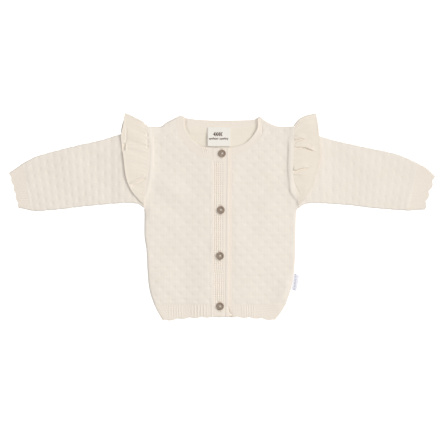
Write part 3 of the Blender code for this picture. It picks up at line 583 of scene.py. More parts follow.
def hem_front(side):
    """Ribs run down the hem, round at their tops and sunk at the hem line and the edge."""
    corner, end = np.array(HEM_SIDES[side][0], float), PLACKET_X[side]
    share, down = shares(180), shares(22)
    top = np.column_stack([corner[0] + share * (end - corner[0]), 0 * share + HEM_LINE - JOIN / 2])
    outer = through(HEM_SIDES[side], down)
    outer[0] = top[0]
    x = outer[-1, 0] + share * (end - outer[-1, 0])
    foot = np.column_stack([x, hem_edge(x)])
    foot[0] = outer[-1]
    xy = patch(top, foot, outer, np.linspace(top[-1], foot[-1], 22))
    x, y = np.moveaxis(xy, -1, 0)
    run = np.abs(share * (end - corner[0]))[None]
    swell = HEM_SWELL * (ribbing(run, HEM_RIB) - 0.5)
    for middle, half, pitch, height in DRAWN[side]:
        inside = smooth((half - np.abs(x - middle)) / 4 + 0.5)
        swell = swell + height * (ribbing(x - middle, pitch) - 0.5) * inside
    swell = swell * np.interp(down, *RIB_FADE)[:, None]
    roll = edge_drop(np.minimum(away(xy, outer), away(xy, foot) + 1.0))
    level = front_level(side, xy) + bells(FOLDS, xy) * ramp(y, HEM_EDGE, 15)
    over = level + KNIT * (1 - 0.7 * roll) + (swell + bells(CREASES, xy)) * (1 - roll)
    laid(side + "_hem_ribs", xy, level, over, rib_knit, "hem_" + side,
         both(run, down[:, None] * HEM_DEPTH))


for wearer_side in SIDES:
    hem_front(wearer_side)


# The front neckbands: ribbed like the back one and linked on to the neck edge, from the shoulder
# fold to the placket.
NECK_EDGES = {
    "right": [(-13.3, 103.5), (-22, 104.1), (-31.5, 106.5), (-41.3, 113.3), (-48.2, 121.3), (-54.4, 133.5),
              (-55, 149.5)],
    "left": [(16.1, 104.6), (23.6, 106.1), (33.5, 109.2), (43.5, 117), (51.5, 127.5), (54.6, 136.2),
             (54, 148.6)],
}
NECK_THIN = 0.24  # how much of the wall is lost towards the free edge
NECK_SWELL = 0.6
STANDS = {"right": 0.3, "left": 3.0}  # how far the neck edge stands up near the shoulder fold
PUCKER = {"right": (0.12, 1.8), "left": (0.12, 0)}  # how far ribs rise in all, and more near the placket
FOLD_ROUND = (2.2, 4)  # how far the band bulges over its shoulder fold, and over what length


def neckband_front(side):
    """The grid runs round the neckline. At the shoulder the band rounds over its fold."""
    outer, inner = (through(lines[side], shares(220))[::-1] for lines in (NECKLINES, NECK_EDGES))
    outer[-1, 0] = inner[-1, 0] = PLACKET_X[side]
    across = shares(15)[:, None]
    xy = (1 - across[..., None]) * inner + across[..., None] * outer
    run = runs((inner + outer) / 2)[None]
    bulge, length = FOLD_ROUND
    xy[..., 1] += bulge * bell(run / length) * np.sin(np.pi * across)
    stand = STANDS[side] * (1 - across) ** 3.5 * smooth(1.25 * (1 - run / run[0, -1])) * smooth(run / 5)
    level = front_level(side, xy) + stand
    body = KNIT * np.interp(across, *zip(*NECK_PROFILE)) * (1 - NECK_THIN * (1 - across))
    from_placket = run[0, -1] - run
    gathered = ramp(from_placket, 4, 4) * smooth((22 - from_placket) / 6) * smooth((0.6 - across) / 0.3)
    rise, more = PUCKER[side]
    swell = NECK_SWELL * (ribbing(run, NECK_RIB) - 0.4) * (rise + more * gathered)
    swell = swell * np.sin(np.pi * across) ** 0.5
    over = level + (body + swell + bells(CREASES, xy)) * (1 - 0.6 * edge_drop(run))
    laid(side + "_neckband_ribs", xy, level, over, rib_knit, "neckband_" + side,
         both(run, across * NECK_DEPTH))


for wearer_side in SIDES:
    neckband_front(wearer_side)


# The sleeves: flattened tubes of the same textured knit, set in at the armholes. The rows run round
# the arm. The head of each lies on the back half of the ruffle.
SLEEVE_WALL, SLEEVE_SLIT = 1.8, 0.6
SLEEVE_HEIGHT = 2 * SLEEVE_WALL + SLEEVE_SLIT
RUFFLE_WALL = 1.2
SLEEVE_LIFT = RUFFLE_WALL + SEAM
SLEEVE_SETTLE = (150.0, 20.0)  # where the sleeve starts to settle on the surface, and over what length
SLEEVE_ROW = 10.5
SLEEVES = {
    "right": {"top": [(-110.6, 134.6), (-154.5, 122.7), (-181.5, 114.5), (-217.5, 106.5), (-253.5, 97.3),
                      (-280.5, 89.2), (-298.5, 79.5)],
              "foot": [(-117.4, 13), (-127.5, 18.8), (-145, 20), (-199.5, 15.6), (-235.5, 11.3),
                       (-271.5, 8), (-284.4, 8.6)],
              "relief": 0.74},
    "left": {"top": [(109, 134.6), (148.5, 120.2), (178.5, 112), (214.5, 104.2), (250.5, 96.7),
                     (272, 90.3), (294, 80.2)],
             "foot": [(117.9, 12.6), (126, 18.4), (142.5, 19.8), (187.5, 17.3), (223.5, 13),
                      (259.5, 9.9), (280.5, 8.6)],
             "relief": 0.6},
}
SLEEVE_HEAD = 0.21  # the share of the sleeve over which its rings bulge to the armhole
SLEEVE_SOFT = (0.5, 50, 20)  # the unevenness of its upper layer: how much, from where, how soon
ROUND = np.radians(np.linspace(80, -80, 7))  # the turn of a slot's round end
OVER, BELOW = 60, 34  # points across the upper and the lower layer


def flat_rings(foot, top, level, over, below, shift):
    """Two shells of rings between a foot line and a top line, which run over and back under.

    The section is a slot with round ends, and the second shell lies a wall inside the first. Shift
    gives how far along X each point is moved. With the shells come each point's share across, and
    its direction out of the tube in the section.
    """
    width = np.linalg.norm(top - foot, axis=1)[:, None]
    bend = np.column_stack([np.cos(ROUND), np.sin(ROUND)])
    out = np.r_[np.tile([[0, 1]], (over, 1)), bend, np.tile([[0, -1]], (below, 1)), -bend]
    shells = []
    for inside in (0, SLEEVE_WALL):
        half = SLEEVE_HEIGHT / 2 - inside
        first, last = inside + half + 0 * width, width - inside - half
        across = np.hstack([first + shares(over) * (last - first), last + half * bend[:, 0],
                            first + shares(below)[::-1] * (last - first), first - half * bend[:, 0]])
        share = across / width
        xy = foot[:, None] + share[..., None] * (top - foot)[:, None]
        rings = raised(xy, level[:, None] + SLEEVE_HEIGHT / 2 + half * out[:, 1])
        rings[..., 0] += shift(rings, share)
        shells.append(rings)
    return shells, share, out


def unrolled(ring, foot, top):
    """How far round its ring each point is, and last the way all round, and how far along each ring is."""
    return runs(np.vstack([ring, ring[:1]])), runs((foot + top) / 2)[:, None]


def push_out(rings, foot, top, out, height):
    """Rings moved out of the tube by a height, in the plane of their section."""
    side = (height * out[:, 0])[..., None] * unit(top - foot)[:, None]
    return rings + raised(side, height * out[:, 1])


def faces_of_tube(index):
    """The faces of a tube's wall, from the numbers of its rings' points with the first one repeated."""
    within = index + 1 + index.max()
    ends = [quads(np.array([index[k], within[k]])) for k in (0, -1)]
    return np.vstack([quads(index), quads(within)[:, ::-1], ends[0][:, ::-1], ends[1]])


def tube(name, outer, inner, around, along, finish, node):
    """A laid sheet: a closed wall between rings of outer and inner points, open at both ends.
    """
    rings, points = outer.shape[:2]
    index = np.arange(rings * points).reshape(rings, points)
    faces = faces_of_tube(np.column_stack([index, index[:, 0]]))
    on_cloth = faces_of_tube(np.arange(rings * (points + 1)).reshape(rings, points + 1))
    knitting = both(around, along).reshape(-1, 2)[on_cloth % (rings * (points + 1))]
    shells = np.vstack([outer.reshape(-1, 3), inner.reshape(-1, 3)])
    piece = piece_from(name, shells, faces, knitting, finish, node)


def sleeve(side):
    """Rings from the armhole to the cuff, whose first ones bulge to meet the armhole's curve."""
    down = shares(128)
    foot, top = (through(SLEEVES[side][line], down) for line in ("foot", "top"))
    level = SLEEVE_LIFT * (1 - ramp(np.abs(foot[:, 0]), *SLEEVE_SETTLE))
    armhole_x, armhole_y = through(SIDES[side]["armhole"], shares(60)).T

    def to_armhole(rings, share):
        """How far the first ring is from the armhole, which the next rings follow ever less."""
        gap = np.interp(rings[0, :, 1], armhole_y, armhole_x) + OUT[side] * JOIN - rings[0, :, 0]
        bulge = np.interp(share, share[0, :OVER], gap[:OVER])
        bulge[0] = gap
        return bulge * (1 - smooth(down / SLEEVE_HEAD))[:, None]

    (outer, inner), share, out = flat_rings(foot, top, level, OVER, BELOW, to_armhole)
    around, along = unrolled(outer[40], foot, top)
    upper = np.arange(len(out)) < OVER
    much, start, length = SLEEVE_SOFT
    soft = rumple(outer[..., :2] + (30, 0), much) * upper * smooth(share * (1 - share) * 12)
    relief = SLEEVES[side]["relief"] * (textured(around[:-1], along, SLEEVE_ROW) - 1)
    ends = smooth(np.minimum(along, along[-1] - along) / 5)
    outer = push_out(outer, foot, top, out, (soft * ramp(along, start, length) + relief) * ends)
    tube(side + "_sleeve", outer, inner, around, along, body_knit, "sleeve_" + side)


for wearer_side in SIDES:
    sleeve(wearer_side)


# The cuffs: a ribbed band knitted on to each sleeve, with a scalloped edge that curls a little.
CUFFS = {
    "right": {"top": [(-298.5, 79.5), (-307.5, 73), (-318.9, 65.4)],
              "foot": [(-284.4, 8.6), (-294, 10.8), (-304.6, 13.2)],
              "edge": [(-304.6, 13.2), (-307.9, 24), (-311, 38), (-315, 52), (-318.9, 65.4)],
              "scallops": (13.0, 8.0, 1.6)},  # pitch, first notch, depth
    "left": {"top": [(294, 80.2), (307, 73), (320.6, 60.5)],
             "foot": [(280.5, 8.6), (292.2, 9.6), (306.5, 10.4)],
             "edge": [(306.5, 10.4), (309, 22), (313, 36), (317.5, 48), (320.6, 60.5)],
             "scallops": (16.0, 12.5, 3.0)},
}
CUFF_SWELL = 0.15
CUFF_FADE = [0, 0.1, 0.85, 1], [0.1, 1, 1, 0.6]  # at these shares of its length, so much of the ribs


def cuff(side):
    """The tube's last ring follows the scalloped edge, and the ribs run along the arm."""
    down = shares(30)
    foot, top = (through(CUFFS[side][line], down) for line in ("foot", "top"))
    for line in (foot, top):
        line[0, 0] += OUT[side] * JOIN
    edge_x, edge_y = through(CUFFS[side]["edge"], shares(60)).T
    pitch, notch, depth = CUFFS[side]["scallops"]

    def to_edge(rings, share):
        """How far the last ring is from the scalloped edge, shared out as the square of the way down."""
        span = np.interp(rings[-1, :, 1], edge_y, edge_x) - rings[-1, :, 0]
        from_foot = share[-1] * np.linalg.norm(top[-1] - foot[-1])
        scallop = OUT[side] * depth * (np.abs(np.sin(np.pi * (from_foot - notch) / pitch)) - 1)
        return (span + scallop) * (down ** 2)[:, None]

    (outer, inner), _, out = flat_rings(foot, top, np.zeros(30), 150, 60, to_edge)
    around, along = unrolled(outer[0], foot, top)
    relief = CUFF_SWELL * (ribbing(around[:-1], HEM_RIB) - 1) * np.interp(down, *CUFF_FADE)[:, None]
    outer = push_out(outer, foot, top, out, relief)
    tube(side + "_cuff_ribs", outer, inner, around, along, rib_knit, "cuff_" + side)


for wearer_side in SIDES:
    cuff(wearer_side)


# The ruffles: a strip of plain cotton knit, gathered into each armhole seam. It runs from the front
# underarm over the shoulder fold to the back underarm: its front half lies over the sleeve in
# waves, and its back half flat under it. The free edge is finished with a narrow roll.
RUFFLE_MIDDLE = SLEEVE_LIFT + SLEEVE_HEIGHT + SEAM + RUFFLE_WALL / 2
# Creases are gathers, from the underarm (0) to the shoulder fold (1). Columns: place at the seam, place
# at the edge, share of the puff cut away, half width, reach. Flutes of the free edge: place, half
# width, height. Pleats and ridges: half width, rise, and the places that the line runs through. Tucks,
# whose upper side laps over: rise, reach, and places from -X to +X.
RUFFLES = {
    "right": {
        "fold": [(-110.8, 136.8), (-114.6, 138.6), (-118.5, 143), (-127.5, 147.6), (-136.5, 152.2),
                 (-145, 155.6)],
        "edge": [(-120.5, 21.5), (-125.5, 26.5), (-134.5, 37.8), (-141.4, 51.6), (-145, 68), (-147.5, 88.5),
                 (-150, 108), (-151.4, 122), (-149.6, 134.3), (-145, 155.6)],
        "creases": [(0.10, 0.12, 0.7, 0.030, 0.8), (0.22, 0.20, 0.9, 0.035, 1.0),
                    (0.36, 0.27, 1.0, 0.035, 1.1), (0.50, 0.47, 0.7, 0.030, 0.8),
                    (0.62, 0.61, 0.8, 0.030, 0.9), (0.73, 0.72, 1.0, 0.035, 1.2),
                    (0.88, 0.86, 0.7, 0.035, 0.8)],
        "flutes": [(0.16, 0.055, 0.5), (0.36, 0.06, 0.6), (0.56, 0.06, 0.6), (0.83, 0.085, 2.2)],
        "pleats": [(1.0, -0.9, [(-143.4, 131.8), (-142.9, 118.3), (-144.7, 107.6)]),
                   (1.7, -2.2, [(-146.6, 108), (-147.6, 101)]), (0.9, 0.9, [(-143.4, 109), (-143.8, 99)]),
                   (1.6, 0.4, [(-142.5, 103.4), (-127.8, 102.8), (-115, 103)]),
                   (1.5, -0.4, [(-142.4, 90.5), (-130, 89.6), (-117.6, 89.5)]),
                   (2.0, -1.5, [(-133.3, 47), (-124, 51.5), (-116, 56.7)]),
                   (1.7, 1.1, [(-135.7, 50.8), (-126, 55), (-116.4, 59.9)]),
                   (1.6, -1.2, [(-111.6, 124), (-111.6, 121)]),
                   (1.6, -1.2, [(-111.4, 113.5), (-111.4, 111)]),
                   (1.4, -1.0, [(-110.9, 105.7), (-110.9, 104)])],
        "tucks": [(0.5, 2.5, [(-143, 107.2), (-127.8, 106.8), (-113, 107)])],
    },
    "left": {
        "fold": [(109.2, 137.6), (115.5, 145.3), (124.5, 150.6), (133.5, 153.2), (142.2, 154.8)],
        "edge": [(120.5, 22), (125.5, 27.5), (132, 37.5), (139.5, 54), (145.5, 72), (149, 90), (148.5, 105),
                 (146.7, 121.5), (145, 138), (142.2, 154.8)],
        "creases": [(0.12, 0.14, 0.7, 0.030, 0.8), (0.27, 0.25, 0.8, 0.030, 0.9),
                    (0.43, 0.46, 1.0, 0.035, 0.9), (0.57, 0.56, 0.7, 0.030, 0.7),
                    (0.70, 0.67, 1.0, 0.035, 1.1), (0.80, 0.80, 1.0, 0.032, 0.9),
                    (0.91, 0.90, 0.7, 0.030, 0.8)],
        "flutes": [(0.20, 0.06, 0.5), (0.38, 0.055, 0.6), (0.60, 0.06, 0.8), (0.86, 0.075, 1.2)],
        "pleats": [(1.0, -0.8, [(126, 116.2), (134, 116.9)]), (1.0, -0.7, [(112, 107.5), (134, 107.3)]),
                   (1.2, -0.5, [(109.5, 50), (113.5, 41), (117, 33)])],
        "tucks": [(2.8, 2.7, [(108.4, 112.6), (113.4, 114.5), (120.9, 116), (128, 116.3)]),
                  (0.9, 2.0, [(109, 120.2), (123, 119)]),
                  (2.9, 3.2, [(109.5, 103), (123.5, 103.2), (130.4, 100.8), (141, 96.8)]),
                  (4.4, 2.8, [(107, 68.3), (113.4, 69), (120.9, 71.2), (131, 73.7)]),
                  (1.2, 2.5, [(108, 61.2), (113, 61.5), (121, 63)])],
    },
}
PUFF = (1.0, 14.0)  # how far the cloth stands up between two gathers, and how far in from the seam
GATHER = (5.6, 0.2, 0.3)  # the fine gathers: pitch, height, and the share of the depth they fade over
STAND = {"right": (70, 34, 1.3), "left": (70, 34, 0)}  # the free edge's rise: where, half width, height
LOW = 0.25  # how far a gather may sink below the strip's own level, and below how deep a pleat may cut
PLEAT_CUT = 0.85
TUCK_STEP, TUCK_GROOVE = 1.3, 0.7  # the step's width, and the groove's share of the rise
PEEK, PEEK_FROM, PEEK_TO = 1.2, (122, 6), (148, 8)  # the right ruffle's back half shows beyond its front
BACK_INSET = 0.1  # elsewhere the back half is narrower by this share
EDGE_BEAD = (1.5, 0.3)  # the rolled free edge's width and height
FREE_RADIUS = 1.15  # of the shoulder fold at its free corner
RUFFLE_DEPTH, RUFFLE_CUT = 38, 0.040  # the knitting's depth, and the strip's width as cut, in metres
plain_knit = cotton_knit("combed cotton, plain knit", "plain_knit", "#f3eade", "#eadfce", 2.1, 1.7, 0.2)


def ruffle_waves(side, s, t, from_seam):
    """How far the strip stands up: bell-shaped valleys cut from its puffs, and flutes at its edge.

    The puffs rise evenly from the seam, and die away towards the free edge.
    """
    rise, reach = PUFF
    puff = rise * np.minimum(from_seam / reach, 1) * (1 - 0.85 * ramp(t, 0.55, 0.45))
    for at_seam, at_edge, share, half, reach in RUFFLES[side]["creases"]:
        line = at_seam + (at_edge - at_seam) * t
        puff = puff * (1 - share * bell((s - line) / half) * smooth(1.6 * (reach - t) + 0.3))
    for place, half, height in RUFFLES[side]["flutes"]:
        puff = puff + height * t ** 2 * bell((s - place) / half)
    return puff


def tucks(side, x, y):
    """Each tuck is a step up across its line, with a bell-shaped groove at its foot, and falls off."""
    lift = 0
    for rise, reach, places in RUFFLES[side]["tucks"]:
        line_x, line_y = through(places, shares(24)).T
        over_it = y - np.interp(x, line_x, line_y)
        rise = rise * ramp(x, line_x[0], 3) * smooth((line_x[-1] - x) / 7)
        lift = lift + rise * smooth(over_it / TUCK_STEP) * np.exp(-np.maximum(over_it, 0) / reach)
        lift = lift - TUCK_GROOVE * rise * bell(over_it + 0.3)
    return lift


def ruffle(side):
    """One sheet: the waved upper half, the round shoulder fold, and the flat lower half.

    The fold is as high as the sleeve at the seam and closes towards the free corner. The sheet is
    worked out without its waves first, and its thickness is laid on along that sheet's normals.
    """
    t, s = shares(54), shares(240)
    half_wall = RUFFLE_WALL / 2
    radius = (1 - t) * (RUFFLE_MIDDLE - half_wall) / 2 + t * FREE_RADIUS
    middle = through(RUFFLES[side]["fold"], t) - np.column_stack([0 * t, radius + half_wall])
    seam = through(SIDES[side]["armhole"], np.linspace(0.03, 1, len(s))) + (OUT[side] * JOIN, 0)
    seam[-1] = middle[0]
    edge = through([*RUFFLES[side]["edge"][:-1], tuple(middle[-1])], s)
    xy = patch(seam[0] + t[:, None] * (edge[0] - seam[0]), middle, seam, edge)
    x, y = np.moveaxis(xy, -1, 0)
    steps = np.linalg.norm(np.diff(xy, axis=0), axis=2)
    from_fold = np.vstack([np.cumsum(steps[::-1], axis=0)[::-1], 0 * t])
    peeks = ramp(y, *PEEK_FROM) * smooth((PEEK_TO[0] - y) / PEEK_TO[1]) * (side == "right")
    fold_top = half_wall + 2 * radius
    base = raised(xy, fold_top + (RUFFLE_MIDDLE - fold_top) * smooth(from_fold / (2 + 15 * t)))
    base[..., 0] += PEEK * peeks * t ** 3
    turn = np.radians(np.linspace(75, -75, 9))[:, None]
    bend = np.stack([middle[:, 0] + 0 * turn, middle[:, 1] + radius * np.cos(turn),
                     half_wall + radius * (1 + np.sin(turn))], axis=-1)
    lower = raised(xy[::-4], half_wall)
    share = shares(len(lower))[:, None]
    inset = BACK_INSET * np.minimum(1, 1.3 * share) ** 0.7 * t * (1 - peeks[::-4])
    lower[..., :2] -= inset[..., None] * (lower[..., :2] - lower[:, :1, :2])
    sheet = np.vstack([base, bend, lower])
    normal = unit(np.cross(np.gradient(sheet, axis=1), np.gradient(sheet, axis=0)))
    normal *= np.sign(normal[60, 20, 2])  # up, on the upper half
    from_seam, from_edge = (np.linalg.norm(xy - xy[:, [k]], axis=2) for k in (0, -1))
    pitch, height, fade = GATHER
    gathers = height * np.cos(2 * np.pi * runs(seam)[:, None] / pitch + 2 * t) * np.exp(-t / fade)
    lift = ruffle_waves(side, s[:, None], t[None], from_seam) + gathers * smooth(from_seam / 3)
    place, half, height = STAND[side]
    lift = lift + bells(RUFFLES[side]["pleats"], xy) + tucks(side, x, y)
    lift = lift + height * t ** 3 * bell((y - place) / half)
    floor = -LOW * smooth(from_seam / 2)
    cut = np.clip(floor - lift, 0, PLEAT_CUT)
    lift = np.maximum(lift, floor) + EDGE_BEAD[1] * bell(2 * (from_edge / EDGE_BEAD[0] - 0.8))
    sheet[:len(s), :, 2] += lift * smooth(from_fold / 9)
    over, under = sheet + half_wall * normal, sheet - half_wall * normal
    over[:len(s), :, 2] -= cut
    knitting = both(runs(sheet[:, 20])[:, None], t * RUFFLE_DEPTH)
    piece = wall(side + "_ruffle", under, over, knitting, plain_knit, "ruffle_" + side)


for wearer_side in SIDES:
    ruffle(wearer_side)


# The two bands down the front. The button band is sewn to the left front and lies under the
# buttonhole band, which is sewn to the right front. Fine ribs run down the upper one, between a
# raised seam on one side and a plain rolled edge on the other.
FRONT_LEVEL = KNIT + SEAM
BAND_LEVEL = FRONT_LEVEL + KNIT + SEAM
# The edges of each band. Here left is the side towards -X.
BAND = {"left": -13.26, "right": 11.3, "top": 103.3, "foot": -151.0}
UNDER_BAND = {"left": -8.0, "right": 16.06, "top": 104.2, "foot": -149.5}
BAND_RIB, BAND_RIBS = 3.0, (0.7, 16.5)  # pitch of the fine ribs, and where they begin and end
BAND_GROOVE = 2.16  # where their first groove runs
BAND_PLAIN = (18.0, 13.0)  # its top and its foot are plain, over these lengths
BAND_DEPTH = (0.72, 0.42)  # how deep the grooves and the hollows between rows are
BAND_DRIFT = (1.5, 172.0, 26.0)  # how far the ribs wander to one side, from how far down, in what length
BAND_LEAN = (1.6, 2.2)  # how far the edge's groove stands out at the top, and how much less at the foot
BAND_LEANING = (16.6, 2)  # where across the band this starts, and over what width
BAND_WAVER = 0.3  # how far the band wavers, as two slow sines down it
BAND_ROW = 3.3
BAND_THINNEST = 0.5
# Across each band. Columns: place, height.
BAND_PROFILE = [(0, 1.7), (1.2, 1.8), (14.9, 1.95), (16.4, 1.75), (19.2, 1.45), (20.4, 2.0), (22.5, 2.05),
                (24.0, 1.8), (24.56, 0.9)]
UNDER_PROFILE = [(0, 1.3), (1, 1.9), (18.5, 1.72), (23.2, 2.02), (24.06, 2.02)]


def band(name, place, level, profile, ribbed, node):
    """A straight strip: its profile across, times its rounded ends, plus its ribs and rows."""
    width, length = place["right"] - place["left"], place["top"] - place["foot"]
    across, down = np.linspace(0, width, 82), np.linspace(0, length, 330)[:, None]
    in_ribs = smooth(across - BAND_RIBS[0]) * smooth(BAND_RIBS[1] - across) * ribbed
    in_ribs = in_ribs * ramp(down, BAND_PLAIN[0], 6) * smooth((length - down - BAND_PLAIN[1]) / 6)
    drift, from_down, in_length = BAND_DRIFT
    first_groove = BAND_GROOVE + drift * ramp(down, from_down, in_length)
    groove = 1 - np.abs(np.sin(np.pi * (across - first_groove) / BAND_RIB)) ** 0.6
    hollow = 0.5 + 0.5 * np.cos(2 * np.pi * down / BAND_ROW)
    ends = edge_drop(np.minimum(down, length - down) * 1.5)
    height = np.interp(across, *zip(*profile)) * (1 - 0.5 * ends)
    height = height - in_ribs * (BAND_DEPTH[0] * groove + BAND_DEPTH[1] * hollow)
    lean = BAND_LEAN[0] - BAND_LEAN[1] * down / length
    lean = lean * ramp(across, *BAND_LEANING) * smooth((width - across) / 3)
    waver = BAND_WAVER * np.sin(down / 23) * np.sin(down / 61 + 1) * smooth(across / 5)
    xy = both(place["left"] + across + (waver + lean) * ribbed, place["top"] - down)
    height = np.maximum(height + bells(CREASES, xy), BAND_THINNEST)
    laid(name, xy, level, level + height, rib_knit, node)


band("button_band_knit", UNDER_BAND, FRONT_LEVEL, UNDER_PROFILE, 0, "band_button")
band("buttonhole_band_knit", BAND, BAND_LEVEL, BAND_PROFILE, 1, "band_buttonhole")


# The buttonholes: a slit along the band under each button, bound all round with cotton thread.
BUTTONS = [(0.8, 94.5, 12), (-0.9, 9.8, 40), (-2.1, -59.0, 25), (-2.1, -134.7, 60)]  # x, y, turn
HOLE_HALF, HOLE_BESIDE = 7.3, -0.3  # half the slit's length, and its place beside the button's middle
STITCH, STITCH_FAN = 1.5, 1.1  # a binding stitch's length, and how far the last ones fan out
THREAD_RADIUS = 0.3
thread = cotton_knit("cotton sewing thread", "rib_knit", "#f3ebdf", "#d9ccb9", 0.9, 1.1, 0.1)


def strands(name, paths, radius, finish):
    """Threads along paths of points, as one mesh: a ring of eight points round each point of a path.

    Each ring stands square to its path, and the rings at both ends are small and closed.
    """
    paths = np.asarray(paths, float)
    ahead = unit(np.gradient(paths, axis=1))
    side = unit(np.cross(ahead, (0.03, 0.05, 1.0)))
    turn = np.radians(np.arange(0, 360, 45))
    ring = side[..., None, :] * np.cos(turn)[:, None]
    ring = ring + np.cross(side, ahead)[..., None, :] * np.sin(turn)[:, None]
    thin = np.ones(paths.shape[1])
    thin[[0, -1]] = 0.4
    points = paths[:, :, None] + radius * thin[:, None, None] * ring
    index = np.arange(points[..., 0].size).reshape(points.shape[:3])
    wrapped = np.concatenate([index, index[..., :1]], axis=2)
    caps = np.array([(0, 1, 2, 3), (0, 3, 4, 7), (4, 5, 6, 7)])
    faces = np.vstack([*(quads(one) for one in wrapped), index[:, 0][:, caps[:, ::-1]].reshape(-1, 4),
                       index[:, -1][:, caps].reshape(-1, 4)])
    place = both(radius * turn, runs(paths[0])[None, :, None] + 0 * index).reshape(-1, 2)
    return piece_from(name, points, faces, place[faces], finish)


def buttonhole(number, x, y):
    """Short stitches lie side by side along both lips of the slit, and fan out at its ends."""
    share = np.linspace(-1, 1, 21)[:, None]
    t = shares(7)[:, None]
    paths = []
    for way in (-1, 1):
        start = np.hstack([x + way * 0.3 + 0 * share, y + HOLE_HALF * share])
        reach = np.hstack([way * (STITCH + 0 * share), STITCH_FAN * share ** 5])
        lip = start[:, None] + t * reach[:, None]
        paths.append(raised(lip, BAND_LEVEL + KNIT - 0.05 + 0.4 * np.sin(np.pi * t[:, 0])))
    strands(f"buttonhole_{number}_stitches", np.vstack(paths), THREAD_RADIUS, thread)


for count, (button_x, button_y, _) in enumerate(BUTTONS, 1):
    buttonhole(count, button_x + HOLE_BESIDE, button_y)


# The four buttons: turned from coconut shell, dished, with a round rim and four drilled holes.
# Each is sewn to the button band with cream thread, which crosses from hole to hole.
BUTTON_LEVEL = BAND_LEVEL + KNIT + SEAM
# The blank from its dish over the rim to its foot, and the thread from hole to hole, in shares of the
# way from the middle to a hole. Columns: place, height.
RIM = [(2.9, 1.5), (3.4, 1.55), (3.95, 1.95), (4.9, 2.1), (5.55, 1.75), (5.7, 1.15), (5.0, 0.3), (3.4, 0)]
STRAND = [(-1.0, -2.0), (-0.92, 0.4), (-0.6, 0.75), (0, 0.85), (0.6, 0.75), (0.92, 0.4), (1.0, -2.0)]
HOLE, HOLE_FROM_MIDDLE, DISH = 0.75, 1.45, 1.5
STRAND_APART, STRAND_OVER = 0.27, 0.3  # half the way between a pair's strands, and how far one pair is over


def coconut_shell(name):
    """Polished coconut shell: dark, with fine paler fibres along the shell, and a satin gloss."""
    look, tree, shader = add_material(name)
    point = add_node(tree, "TexCoord")["Object"]
    drawn = add_node(tree, "Mapping", {"Vector": point, "Scale": (900.0, 160.0, 900.0)})[0]
    fibre = add_node(tree, "TexNoise", {"Vector": drawn, "Scale": 1.0, "Detail": 3.0})[0]
    share = add_node(tree, "MapRange", {"Value": fibre, "From Min": 0.45, "From Max": 0.75})[0]
    tones = {0: share, 6: linear("#867463"), 7: linear("#b39f8c")}
    colour = add_node(tree, "Mix", tones, data_type="RGBA")[2]
    bump = add_node(tree, "Bump", {"Height": fibre, "Strength": 0.3, "Distance": 0.1 * MM})[0]
    fill_sockets(tree, shader, {"Base Color": colour, "Normal": bump, "Roughness": 0.38, "IOR": 1.52})
    return look, "button_shell"


shell = coconut_shell("turned coconut shell")


def turned(name, profile, sides):
    """A profile of radius and height carried round +Z. The flat ends are closed by one face each."""
    turn = np.linspace(0, 2 * np.pi, sides, endpoint=False)
    radius, height = (np.array(profile, float)[:, k, None] for k in range(2))
    points = np.stack([radius * np.cos(turn), radius * np.sin(turn), height + 0 * turn], -1)
    index = np.arange(radius.size * sides).reshape(-1, sides)
    faces = quads(np.column_stack([index, index[:, 0]]))[:, ::-1].tolist()
    mesh = bpy.data.meshes.new(name)
    mesh.from_pydata((points.reshape(-1, 3) * MM).tolist(), [],
                     [*faces, index[0].tolist(), index[-1, ::-1].tolist()])
    return add_object(name, mesh)


def button(number, x, y, turn):
    """The turned blank, less four drills. It is made at the origin and then put in its place."""
    name = f"coconut_button_{number}"
    blank = turned(name + "_blank", through(RIM, shares(30)), 64)
    drills = [turned(f"drill_{quarter}", [(HOLE, 4), (HOLE, -1)], 20) for quarter in range(4)]
    for quarter, drill in enumerate(drills):
        angle = math.radians(turn + 45 + 90 * quarter)
        drill.location = (MM * HOLE_FROM_MIDDLE * math.cos(angle),
                          MM * HOLE_FROM_MIDDLE * math.sin(angle), 0)
        cut = blank.modifiers.new(drill.name, "BOOLEAN")
        cut.operation, cut.object = "DIFFERENCE", drill
    bpy.context.view_layer.update()
    mesh = bpy.data.meshes.new_from_object(blank.evaluated_get(bpy.context.evaluated_depsgraph_get()))
    for spent in (blank, *drills):
        bpy.data.objects.remove(spent, do_unlink=True)
    place = (MM * (x - CENTRE[0]), MM * (y - CENTRE[1]), MM * BUTTON_LEVEL)
    mesh.transform(mathutils.Matrix.Translation(place))
    finished(name, mesh, shell, 35, f"button_{number}")


def button_thread(number, x, y, turn):
    """Two pairs of strands go up through a hole, over the middle and down through the far hole."""
    share, rise = through(STRAND, shares(22)).T
    paths = []
    for cross in range(2):
        angle = math.radians(turn + 45 + 90 * cross)
        along = np.array([math.cos(angle), math.sin(angle)])
        for apart in (-STRAND_APART, STRAND_APART):
            xy = share[:, None] * HOLE_FROM_MIDDLE * along + apart * along[::-1] * (-1, 1)
            height = BUTTON_LEVEL + DISH + rise + STRAND_OVER * cross * (rise > 0)
            paths.append(raised(xy + (x, y), height))
    strands(f"button_{number}_thread", paths, THREAD_RADIUS, thread)


for count, button_place in enumerate(BUTTONS, 1):
    button(count, *button_place)
    button_thread(count, *button_place)


